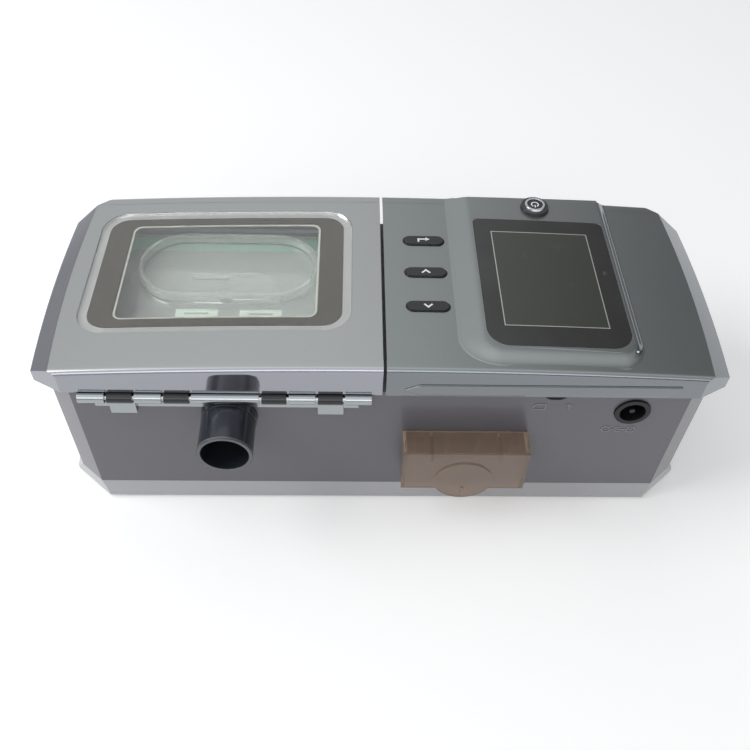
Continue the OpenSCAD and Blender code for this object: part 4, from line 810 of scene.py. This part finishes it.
class MACHINE_OT_edges(Step):
    """Smooth painted edges of the lid and the cover, and the rib on the back band"""

    bl_idname = "machine.edges"
    bl_label = "Painted edges"

    def execute(self, context):
        low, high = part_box("lid_shell")
        self.middle = (low.y + high.y) / 2
        self.half_l, self.half_d = high.x, high.y - self.middle
        self.top, self.bevel_z = high.z, high.z - BEVEL_DROP
        for name, side, body, material in (("lid_edge", 1, "lid", "Lid paint"),
                                           ("cover_edge", -1, "base", "Cover paint with painted shade")):
            bm = bmesh.new()
            for face in (1, -1):
                self.strip(bm, side, face)
            add_piece(name, bm, body, bpy.data.materials[material], 60.0)
        self.rib()
        return {"FINISHED"}

    def rib(self):
        """Rounded face of the rib on the back band: pointed toward the middle, slanted toward the end."""
        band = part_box("lid_shell")[1].y
        low, high = self.bevel_z - 4.6 * MM, self.bevel_z + 0.9 * MM
        outline = [(-8.0 * MM, (low + high) / 2), (-14.0 * MM, low), (27.5 * MM - self.half_l, low),
                   (22.5 * MM - self.half_l, high), (-14.0 * MM, high)]
        bm = bmesh.new()
        raised(bm, outline, lambda u, v, lift: Vector((u, band + lift, v)), 0.63 * MM, 0.55 * MM)
        add_piece("cover_rib", bm, "base", bpy.data.materials["Cover paint with painted shade"], 60.0)

    def end(self, y, z):
        """Place of the body's end at a distance from the middle and a height."""
        cut_x, cut_y = REAR_CUT if y > 0 else FRONT_CUT
        by_cut = self.half_l - cut_x + (self.half_d - abs(y)) * cut_x / cut_y
        bulge = BOW_RADIUS - math.sqrt(BOW_RADIUS * BOW_RADIUS - y * y)
        by_bow = self.half_l - bulge - BEVEL_SLOPE * max(z - self.bevel_z, 0.0)
        return min(by_cut, by_bow)

    def strip(self, bm, side, face):
        """Strip along one long edge: a little of the crowned top, the rounding and a little of the band."""
        top = self.top
        profile = [(self.half_d - EDGE_RADIUS - 3.0 * MM, CROWN_RADIUS + SKIN)]
        for i in range(13):
            turn = math.radians(90 - 90 * i / 12)
            profile.append((self.half_d - EDGE_RADIUS + (EDGE_RADIUS + SKIN) * math.cos(turn),
                            CROWN_RADIUS - EDGE_RADIUS + (EDGE_RADIUS + SKIN) * math.sin(turn)))
        profile.append((self.half_d + SKIN, CROWN_RADIUS - EDGE_RADIUS - 1.2 * MM))
        start, steps = 0.62 * MM, 48
        grid = []
        for out, radius in profile:
            far = self.half_l
            for _ in range(4):
                z = top - CROWN_RADIUS + math.sqrt(radius * radius - far * far)
                far = self.end(face * out, z) - 0.03 * MM
            row = []
            for i in range(steps + 1):
                x = side * (start + (far - start) * i / steps)
                z = top - CROWN_RADIUS + math.sqrt(radius * radius - x * x)
                row.append(bm.verts.new(Vector((x, self.middle + face * out, z))))
            grid.append(row)
        for a, b in zip(grid, grid[1:]):
            for i in range(steps):
                bm.faces.new((a[i], a[i + 1], b[i + 1], b[i]))


class MACHINE_OT_surround(Step):
    """Soft slopes of the raised surround, laid over the cover round the display"""

    bl_idname = "machine.surround"
    bl_label = "Display surround"

    def execute(self, context):
        details = context.scene.machine_details
        lens_low, lens_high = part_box("display_lens")
        margin, self.rise = 1.0 * MM, details.surround_rise
        self.inner, self.outer = details.surround_inner, details.surround_outer
        self.rear = details.surround_rear
        self.left, self.right, self.back = lens_low.x - margin, lens_high.x + margin, lens_high.y + margin
        self.corner = 6.0 * MM
        self.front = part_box("top_cover")[0].y
        bm = bmesh.new()
        self.round_lens(bm, lens_low, lens_high)
        self.apron(bm, lens_low, lens_high)
        bmesh.ops.remove_doubles(bm, verts=bm.verts, dist=0.02 * MM)
        add_piece("display_surround", bm, "base", bpy.data.materials["Cover paint with painted shade"], 40.0)
        return {"FINISHED"}

    def height(self, x, y, past):
        """Height of the slope where a share of its width is past the flat top."""
        share = min(max(past, 0.0), 1.0)
        fall = share * share * (3.0 - 2.0 * share)
        top = crown(x) + self.rise * (1.0 - fall) + 0.05 * MM
        edge = self.front + EDGE_RADIUS
        if y < edge:
            top = min(top, crown(x) + self.rise + 0.05 * MM - (edge - y) * 1.9)
        return top - (0.3 * MM if past > 1.0 else 0.0)

    def round_lens(self, bm, lens_low, lens_high):
        """Rows from the lens's edge over the flat top and down the slopes, round both back corners."""
        lens_r, start = 9.0 * MM, lens_low.y
        stations = []

        def along(turn, edge_x, lens_x, share):
            stations.append((turn, Vector((edge_x, start + (self.back - self.corner - start) * share)),
                             Vector((lens_x, start + (lens_high.y - lens_r - start) * share))))

        for i in range(13):
            along(0.0, self.right, lens_high.x + LENS_GAP, i / 12)
        for first, centre_x, lens_x in ((0, self.right - self.corner, lens_high.x - lens_r),
                                        (90, self.left + self.corner, lens_low.x + lens_r)):
            for i in range(17):
                turn = math.radians(first + 90 * i / 16)
                out = Vector((math.cos(turn), math.sin(turn)))
                stations.append((turn, Vector((centre_x, self.back - self.corner)) + out * self.corner,
                                 Vector((lens_x, lens_high.y - lens_r)) + out * (lens_r + LENS_GAP)))
        for i in range(13):
            along(math.pi, self.left, lens_low.x - LENS_GAP, 1 - i / 12)
        rows = []
        for turn, edge, inside in stations:
            out = Vector((math.cos(turn), math.sin(turn)))
            side = self.inner if out.x > 0 else self.outer
            width = 1.0 / math.sqrt((out.x / side) ** 2 + (out.y / self.rear) ** 2)
            row = [self.point(bm, inside, 0.0), self.point(bm, (inside + edge) / 2, 0.0)]
            row += [self.point(bm, edge + out * width * share, share) for share in SLOPE]
            rows.append(row)
        for a, b in zip(rows, rows[1:]):
            for i in range(len(a) - 1):
                bm.faces.new((a[i], a[i + 1], b[i + 1], b[i]))

    def point(self, bm, place, past):
        return bm.verts.new(Vector((place.x, place.y, self.height(place.x, place.y, past))))

    def apron(self, bm, lens_low, lens_high):
        """Rows in front of the lens, out to the front edge, open under the power button's collar."""
        xs = [self.left - self.outer * share for share in reversed(SLOPE)]
        inner_low, inner_high = lens_low.x - LENS_GAP, lens_high.x + LENS_GAP
        xs += [(self.left + inner_low) / 2]
        xs += [inner_low + (inner_high - inner_low) * i / 36 for i in range(37)]
        xs += [(self.right + inner_high) / 2] + [self.right + self.inner * share for share in SLOPE]
        button_low, button_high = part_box("power_button")
        button = Vector(((button_low.x + button_high.x) / 2, (button_low.y + button_high.y) / 2))
        far, count = self.front + 0.2 * MM, 24
        ys = [lens_low.y - LENS_GAP + (far - lens_low.y + LENS_GAP) * j / count for j in range(count + 1)]
        grid = []
        for y in [lens_low.y] + ys:
            row = []
            for x in xs:
                past = (self.left - x) / self.outer if x < self.left else (x - self.right) / self.inner
                row.append(bm.verts.new(Vector((x, y, self.height(x, y, past)))))
            grid.append(row)
        for j, (a, b) in enumerate(zip(grid, grid[1:])):
            for i in range(len(xs) - 1):
                middle = Vector(((xs[i] + xs[i + 1]) / 2, (a[0].co.y + b[0].co.y) / 2))
                if (middle - button).length < 5.2 * MM:
                    continue
                if j == 0 and inner_low <= middle.x <= inner_high:
                    continue
                bm.faces.new((a[i], a[i + 1], b[i + 1], b[i]))
        bmesh.ops.delete(bm, geom=[v for v in bm.verts if not v.link_faces], context="VERTS")


class MACHINE_OT_housing(Step):
    """Lower housing, tray, feet and their screws"""

    bl_idname = "machine.housing"
    bl_label = "Housing"

    def execute(self, context):
        colours = context.scene.machine_colours
        dress(["lower_housing"], satin("Housing plastic", tuple(colours.housing), 0.34, coat=0.15))
        dress(["base_tray"], satin("Tray plastic", tuple(colours.tray), 0.36, coat=0.15))
        dress(["feet"], rubber("Foot rubber", (0.012, 0.012, 0.013)))
        screws = [kind + "_screws" for kind in ("base", "cover", "control", "board", "blower", "liner")]
        dress(screws, steel("Screw steel"))
        return {"FINISHED"}


class MACHINE_OT_display(Step):
    """Display lens with its frame line, light sensor and lamp"""

    bl_idname = "machine.display"
    bl_label = "Display"

    def execute(self, context):
        details = context.scene.machine_details
        low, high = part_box("display_lens")
        centre = (low + high) / 2
        self.centre_x, self.centre_y = centre.x + 0.0004, centre.y - 0.0012
        dress(["display_lens"], self.lens_finish(details))
        dress(["lcd_module"], satin("Display frame", (0.10, 0.105, 0.11), 0.3))

        def surface(u, v, lift):
            x = self.centre_x + u
            return Vector((x, self.centre_y + v, self.height(x) + lift))

        bm = bmesh.new()
        steps = 14
        a, b = details.frame_length / 2, details.frame_width / 2
        line = [(-a + 2 * a * i / steps, -b) for i in range(steps)] + [(a, -b), (a, b)]
        line += [(a - 2 * a * i / steps, b) for i in range(1, steps)] + [(-a, b)]
        ribbon(bm, line, details.frame_line, surface, closed=True, height=0.00002)
        silver = shade("Frame line", (0.55, 0.55, 0.50), 0.3, metallic=0.6, tone=0.1, bump=0.0)[0]
        add_piece("display_frame_line", bm, "base", silver)
        bm = bmesh.new()
        turned(bm, [(0.0, 0.00003), (0.0011, 0.00003), (0.0012, 0.0)], surface(-0.0252, -0.004, 0.0), UP, 24)
        add_piece("light_sensor", bm, "base", gloss("Sensor window", (0.06, 0.055, 0.06), 0.1))
        bm = bmesh.new()
        lamp = Vector((low.x - 0.0006, high.y + 0.0012))
        turned(bm, [(0.0, 0.0003), (details.lamp * 0.7, 0.00025), (details.lamp, 0.0)],
               (lamp.x, lamp.y, crown(lamp.x) + details.surround_rise - 0.00005), UP, 20)
        plastic = shade("Lamp plastic", (0.85, 0.87, 0.86), 0.2, tone=0.05, bump=0.0, soft=False)[0]
        add_piece("power_lamp", bm, "base", plastic)
        return {"FINISHED"}

    def height(self, x):
        """Height of the lens's crowned face at x."""
        return crown(x) + bpy.context.scene.machine_details.surround_rise

    def lens_finish(self, details):
        material, t, surface = shade(
            "Display lens", (0.012, 0.011, 0.010), 0.06, grain=0.0, bump=0.0, tone=0.10, dust=0.05, coat=0.5,
            coat_rough=0.02,
        )
        if t is None:
            return material
        place = t.add("ShaderNodeTexCoord").outputs["Object"]
        x, y, _ = t.split(place)
        across = t.math("ABSOLUTE", t.math("SUBTRACT", x, self.centre_x))
        along = t.math("ABSOLUTE", t.math("SUBTRACT", y, self.centre_y))
        inside = t.math(
            "MULTIPLY",
            t.math("LESS_THAN", across, details.frame_length / 2),
            t.math("LESS_THAN", along, details.frame_width / 2),
        )
        marks = t.span(t.noise(place, 160.0, detail=5.0, roughness=0.6), 0.62, 0.78, 0.0, 0.10)
        cell = t.blend(marks, (0.036, 0.038, 0.032), (0.16, 0.16, 0.15))
        t.put(surface.inputs["Base Color"], t.blend(inside, linked(surface, "Base Color"), cell))
        return material


class MACHINE_OT_buttons(Step):
    """Three pill buttons and their printed signs"""

    bl_idname = "machine.buttons"
    bl_label = "Buttons"

    def execute(self, context):
        colours, details = context.scene.machine_colours, context.scene.machine_details
        white = shade("Printed white", tuple(colours.marks), 0.45, bump=0.0, tone=0.06, dust=0.03)[0]
        cap = gloss("Button plastic", (0.012, 0.013, 0.014), 0.12)
        dress(["enter_button", "up_button", "down_button"], cap)
        drawings = {"enter_button": self.enter, "up_button": self.up, "down_button": self.down}
        for name, drawing in drawings.items():
            low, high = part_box(name)
            bm = bmesh.new()
            drawing(bm, lying((low.x + high.x) / 2, (low.y + high.y) / 2, high.z - 0.00001), details.stroke)
            add_piece(name + "_sign", bm, name, white)
        return {"FINISHED"}

    def up(self, bm, place, stroke):
        ribbon(bm, [(-1.7 * MM, -0.8 * MM), (0.0, 0.9 * MM), (1.7 * MM, -0.8 * MM)], stroke, place)

    def down(self, bm, place, stroke):
        ribbon(bm, [(-1.7 * MM, 0.8 * MM), (0.0, -0.9 * MM), (1.7 * MM, 0.8 * MM)], stroke, place)

    def enter(self, bm, place, stroke):
        ribbon(bm, [(2.3 * MM, 1.3 * MM), (2.3 * MM, -0.5 * MM), (-0.9 * MM, -0.5 * MM)], stroke, place)
        plate(bm, [(-0.8 * MM, -1.6 * MM), (-0.8 * MM, 0.6 * MM), (-2.7 * MM, -0.5 * MM)], place, 0.00004)


class MACHINE_OT_power(Step):
    """Power button, its bright ring and its sign"""

    bl_idname = "machine.power"
    bl_label = "Power button"

    def execute(self, context):
        dress(["power_collar"], gloss("Collar plastic", (0.035, 0.036, 0.04), 0.22))
        dress(["power_ring"], plated("Ring plating"))
        dress(["power_button"], gloss("Power cap plastic", (0.02, 0.022, 0.028), 0.12))
        white = bpy.data.materials["Printed white"]
        low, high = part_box("power_button")
        place = lying((low.x + high.x) / 2, (low.y + high.y) / 2, high.z - 0.00001)
        bm = bmesh.new()
        ribbon(bm, arc(0.0, 0.0, 1.55 * MM, 125, 415, 24), 0.55 * MM, place)
        ribbon(bm, [(0.0, 0.35 * MM), (0.0, 2.1 * MM)], 0.55 * MM, place)
        add_piece("power_sign", bm, "power_button", white)
        return {"FINISHED"}


class MACHINE_OT_window(Step):
    """Clear window of the lid and its dark border"""

    bl_idname = "machine.window"
    bl_label = "Lid window"

    def execute(self, context):
        colours = context.scene.machine_colours
        pane = clear("Window plastic", (0.97, 0.98, 0.975), transmission=0.985, specular=0.18)[0]
        dress(["lid_window"], pane)
        dark = shade("Border print", tuple(colours.border), 0.5, specular=0.05, grain=0.03, bump=0.0,
                     tone=0.1)[0]
        dress(["window_border"], dark)
        low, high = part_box("window_border")
        centre = (low + high) / 2
        span_x, span_y = high.x - low.x - BORDER_ENDS, high.y - low.y - BORDER_SIDES
        outline = divided(rounded(span_x - 1.0 * MM, span_y - 1.0 * MM, BEAD_RADIUS), 5.0 * MM)

        def under(u, v, lift):
            return Vector((centre.x + u, centre.y + v, crown(centre.x + u) - WINDOW_DEPTH - lift))

        bm = bmesh.new()
        ribbon(bm, outline, 0.9 * MM, under, closed=True, height=0.0003)
        bead = shade("Window bead", (0.33, 0.34, 0.30), 0.4, grain=0.03, bump=0.0, tone=0.06)[0]
        add_piece("window_bead", bm, "lid", bead)
        return {"FINISHED"}


class MACHINE_OT_tank(Step):
    """Water tank with its lid, gasket, clips and metal bottom"""

    bl_idname = "machine.tank"
    bl_label = "Tank"

    def execute(self, context):
        colours = context.scene.machine_colours
        dress(["tank_base"], clear("Tank plastic", tuple(colours.clear), rough=0.05, transmission=0.86)[0])
        dress(["tank_lid", "tank_clips"], clear("Tank lid plastic", (0.93, 0.96, 0.93), transmission=0.87)[0])
        self.band(colours)
        dress(["tank_gasket", "outlet_seal", "inlet_seal"], rubber("Silicone", (0.42, 0.44, 0.45)))
        dress(["tank_plate", "heater_plate"], steel("Plate metal", (0.74, 0.75, 0.74), 0.42, 0.12))
        dress(["heater_springs"], steel("Spring steel", (0.42, 0.42, 0.43), 0.25))
        return {"FINISHED"}

    def band(self, colours):
        """Green band inside the tank's upper wall, open at the back."""
        low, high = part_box("tank_base")
        port, wall, radius = 1.5 * MM, 2.1 * MM, 7.9 * MM
        left, right = low.x + port + wall, high.x - wall
        front, back = low.y + wall, high.y - wall - port
        path = [(right, back - radius), (right, front + radius)]
        path += arc(right - radius, front + radius, radius, 0, -90, 10)[1:]
        path += arc(left + radius, front + radius, radius, -90, -180, 10)
        path += [(left, back - radius)]
        bm = bmesh.new()
        rows = []
        top, bottom = high.z - 0.1 * MM, high.z - 8.0 * MM
        middle = Vector(((left + right) / 2, (front + back) / 2))
        for x, y in path:
            inward = (middle - Vector((x, y))).normalized() * 0.4 * MM
            rows.append([bm.verts.new((x + dx * inward.x, y + dx * inward.y, z))
                         for dx, z in ((0.0, bottom), (0.0, top), (1.0, top), (1.0, bottom))])
        for a, b in zip(rows, rows[1:]):
            for j in range(4):
                bm.faces.new((a[j], a[(j + 1) % 4], b[(j + 1) % 4], b[j]))
        bm.faces.new(rows[0])
        bm.faces.new(list(reversed(rows[-1])))
        tint = clear("Green band", tuple(colours.rim_tint), rough=0.3, transmission=0.45,
                     passing=(0.7, 0.95, 0.85), tone=0.1)[0]
        add_piece("tank_band", bm, "tank", tint, 40.0)


class MACHINE_OT_hinge(Step):
    """Plated hinge, its pin and the lid's arms"""

    bl_idname = "machine.hinge"
    bl_label = "Hinge"

    def execute(self, context):
        dress(["hinge_rail"], plated("Hinge plating", (0.34, 0.36, 0.37), 0.14))
        dress(["hinge_pin"], steel("Pin steel"))
        dress(["hinge_arms"], gloss("Arm plastic", (0.012, 0.013, 0.015), 0.25))
        dress(["lid_catch"], satin("Catch plastic", (0.03, 0.03, 0.033)))
        return {"FINISHED"}


class MACHINE_OT_back(Step):
    """Outlet tube, filter cover, power inlet and the moulded signs at the back"""

    bl_idname = "machine.back"
    bl_label = "Back fittings"

    def execute(self, context):
        colours, details = context.scene.machine_colours, context.scene.machine_details
        tube = shade("Tube plastic", tuple(colours.tube), 0.22, grain=0.03, bump=0.000001, tone=0.05,
                     dust=0.01, coat=0.2)[0]
        dress(["outlet_tube", "outlet_pipe"], tube)
        self.lip()
        smoked = clear("Smoked plastic", tuple(colours.smoked), 0.16, transmission=0.72, ior=1.45, grain=0.03,
                       bump=0.000001, tone=0.05, wear=0.06, dust=0.02)[0]
        dress(["filter_cover"], smoked)
        dark = shade("Inlet plastic", (0.010, 0.010, 0.012), 0.32, specular=0.25, grain=0.03, bump=0.000001,
                     tone=0.05, dust=0.01)[0]
        dress(["dc_inlet", "card_socket"], dark)
        self.signs(details)
        return {"FINISHED"}

    def lip(self):
        """Rounded lip at the mouth of the outlet tube, lighter than the tube: a painted highlight along its
        edge.
        """
        low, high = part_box("outlet_tube")
        bm = bmesh.new()
        profile = [(TUBE_RADIUS + 0.03 * MM, -1.0 * MM)]
        for i in range(7):
            turn = math.radians(90 * i / 6)
            profile.append((TUBE_RADIUS - 0.35 * MM + 0.38 * MM * math.cos(turn),
                            -0.35 * MM + 0.38 * MM * math.sin(turn)))
        bore = TUBE_RADIUS - TUBE_WALL
        profile += [(bore, 0.03 * MM), (bore - 0.03 * MM, -0.8 * MM)]
        turned(bm, profile, ((low.x + high.x) / 2, high.y, TUBE_HEIGHT), (0.0, 1.0, 0.0), 96)
        # Lighter than the tube's plastic: painted highlight on the lip.
        lip_highlight = shade("Tube lip", (0.10, 0.105, 0.115), 0.22, grain=0.03, bump=0.000001, tone=0.08,
                     dust=0.01, coat=0.2)[0]
        add_piece("outlet_lip", bm, "base", lip_highlight, 50.0)

    def signs(self, details):
        """Polarity sign by the power inlet and the card sign, moulded into the back wall."""
        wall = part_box("lower_housing")[1].y
        low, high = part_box("dc_inlet")
        x = (low.x + high.x) / 2
        stroke, lift = details.raised_stroke, details.raised_height
        # The signs are the housing's plastic made lighter: painted highlight of their lit edges.
        plastic = satin("Raised signs with painted highlight", (0.24, 0.235, 0.25), 0.34)
        bm = bmesh.new()
        place = on_back(x + 0.0030, wall, POLARITY_HEIGHT)
        for centre in (-5.2 * MM, 5.2 * MM):
            ribbon(bm, arc(centre, 0.0, 1.7 * MM, 0, 345, 20), stroke, place, height=lift)
            ribbon(bm, [(centre - 0.8 * MM, 0.0), (centre + 0.8 * MM, 0.0)], stroke, place, height=lift)
        ribbon(bm, [(5.2 * MM, -0.8 * MM), (5.2 * MM, 0.8 * MM)], stroke, place, height=lift * 0.98)
        ribbon(bm, arc(0.0, 0.0, 1.5 * MM, 40, 320, 16), stroke, place, height=lift)
        plate(bm, arc(0.0, 0.0, 0.55 * MM, 0, 330, 11), place, lift)
        ribbon(bm, [(-3.5 * MM, 0.0), (-1.5 * MM, 0.0)], stroke, place, height=lift)
        ribbon(bm, [(0.5 * MM, 0.0), (3.5 * MM, 0.0)], stroke, place, height=lift)
        add_piece("polarity_sign", bm, "base", plastic)
        low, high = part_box("card_socket")
        x = (low.x + high.x) / 2
        bm = bmesh.new()
        card = [(-2.4 * MM, -1.6 * MM), (2.4 * MM, -1.6 * MM), (2.4 * MM, 1.6 * MM), (-1.2 * MM, 1.6 * MM),
                (-2.4 * MM, 0.5 * MM)]
        ribbon(bm, card, stroke, on_back(x + 0.006, wall, CARD_HEIGHT), closed=True, height=lift)
        place = on_back(x - 0.006, wall, CARD_HEIGHT)
        ribbon(bm, [(0.0, -1.7 * MM), (0.0, 1.3 * MM)], stroke, place, height=lift)
        tip = [(-1.3 * MM, 0.3 * MM), (0.0, 1.6 * MM), (1.3 * MM, 0.3 * MM)]
        ribbon(bm, tip, stroke, place, height=lift * 0.98)
        add_piece("card_signs", bm, "base", plastic)


class MACHINE_OT_blower(Step):
    """Blower, motor, duct and foams"""

    bl_idname = "machine.blower"
    bl_label = "Blower"

    def execute(self, context):
        white = satin("Blower plastic", (0.68, 0.68, 0.66), 0.38)
        dress(["blower_base", "blower_cover", "impeller"], white)
        dress(["motor_can"], steel("Motor metal", (0.50, 0.51, 0.53), 0.3))
        dress(["motor_rotor"], steel("Rotor metal", (0.20, 0.20, 0.22), 0.4))
        dress(["motor_shaft"], steel("Shaft steel", (0.60, 0.60, 0.62), 0.2))
        dress(["blower_mounts", "outlet_duct"], rubber("Duct rubber", (0.014, 0.014, 0.015)))
        for name, node, base in (("Muffler foam", "muffler_foam", (0.05, 0.05, 0.055)),
                                 ("Filter foam", "filter_foam", (0.10, 0.085, 0.07))):
            material, t, surface = shade(name, base, 0.95, grain=0.1, bump=0.0, tone=0.2, dust=0.1)
            pores = t.group(foam_cells(), Vector=t.add("ShaderNodeTexCoord").outputs["Object"])
            t.put(surface.inputs["Base Color"], t.shaded(linked(surface, "Base Color"), pores["Shade"]))
            t.put(surface.inputs["Normal"], t.relief(pores["Height"], 0.0004).outputs[0])
            dress([node], material)
        return {"FINISHED"}


class MACHINE_OT_electronics(Step):
    """Circuit boards and what stands on them"""

    bl_idname = "machine.electronics"
    bl_label = "Electronics"

    def execute(self, context):
        material, t, surface = shade("Board", (0.010, 0.085, 0.035), 0.32, grain=0.04, bump=0.0, tone=0.1,
                                     dust=0.03, coat=0.3)
        copper = t.group(board_tracks(), Vector=t.add("ShaderNodeTexCoord").outputs["Object"])
        track = t.math("MULTIPLY", copper["Track"], 0.6)
        t.put(surface.inputs["Base Color"], t.blend(track, linked(surface, "Base Color"), (0.03, 0.17, 0.07)))
        t.put(surface.inputs["Normal"], t.relief(copper["Height"], 0.00003).outputs[0])
        dress(["main_board", "control_board"], material)
        dress(["board_parts", "tact_switches"], satin("Component black", (0.02, 0.02, 0.022), 0.4))
        return {"FINISHED"}


# --- Panel and start --------------------------------------------------------------------------------

STEPS = (
    MACHINE_OT_studio, MACHINE_OT_covers, MACHINE_OT_edges, MACHINE_OT_surround, MACHINE_OT_housing,
    MACHINE_OT_display, MACHINE_OT_buttons, MACHINE_OT_power, MACHINE_OT_window, MACHINE_OT_tank,
    MACHINE_OT_hinge, MACHINE_OT_back, MACHINE_OT_blower, MACHINE_OT_electronics,
)


class MACHINE_PT_panel(bpy.types.Panel):
    """Lists the steps and their settings"""

    bl_idname = "MACHINE_PT_panel"
    bl_label = "Air Machine"
    bl_space_type = "VIEW_3D"
    bl_region_type = "UI"
    bl_category = "Air Machine"

    def draw(self, context):
        for step in STEPS:
            self.layout.operator(step.bl_idname)
        scene = context.scene
        for group in (scene.machine_colours, scene.machine_details, scene.machine_studio):
            box = self.layout.box()
            for key in group.__annotations__:
                box.prop(group, key)


CLASSES = (MachineColours, MachineDetails, MachineStudio) + STEPS + (MACHINE_PT_panel,)


def register():
    """Registers the classes and their settings."""
    for cls in CLASSES:
        bpy.utils.register_class(cls)
    bpy.types.Scene.machine_colours = PointerProperty(type=MachineColours)
    bpy.types.Scene.machine_details = PointerProperty(type=MachineDetails)
    bpy.types.Scene.machine_studio = PointerProperty(type=MachineStudio)


def unregister():
    """Takes the classes and their settings away."""
    del bpy.types.Scene.machine_colours
    del bpy.types.Scene.machine_details
    del bpy.types.Scene.machine_studio
    for cls in reversed(CLASSES):
        bpy.utils.unregister_class(cls)


def main():
    """Builds the scene."""
    register()
    for step in STEPS:
        family, action = step.bl_idname.split(".")
        getattr(getattr(bpy.ops, family), action)()


if __name__ == "__main__":
    main()
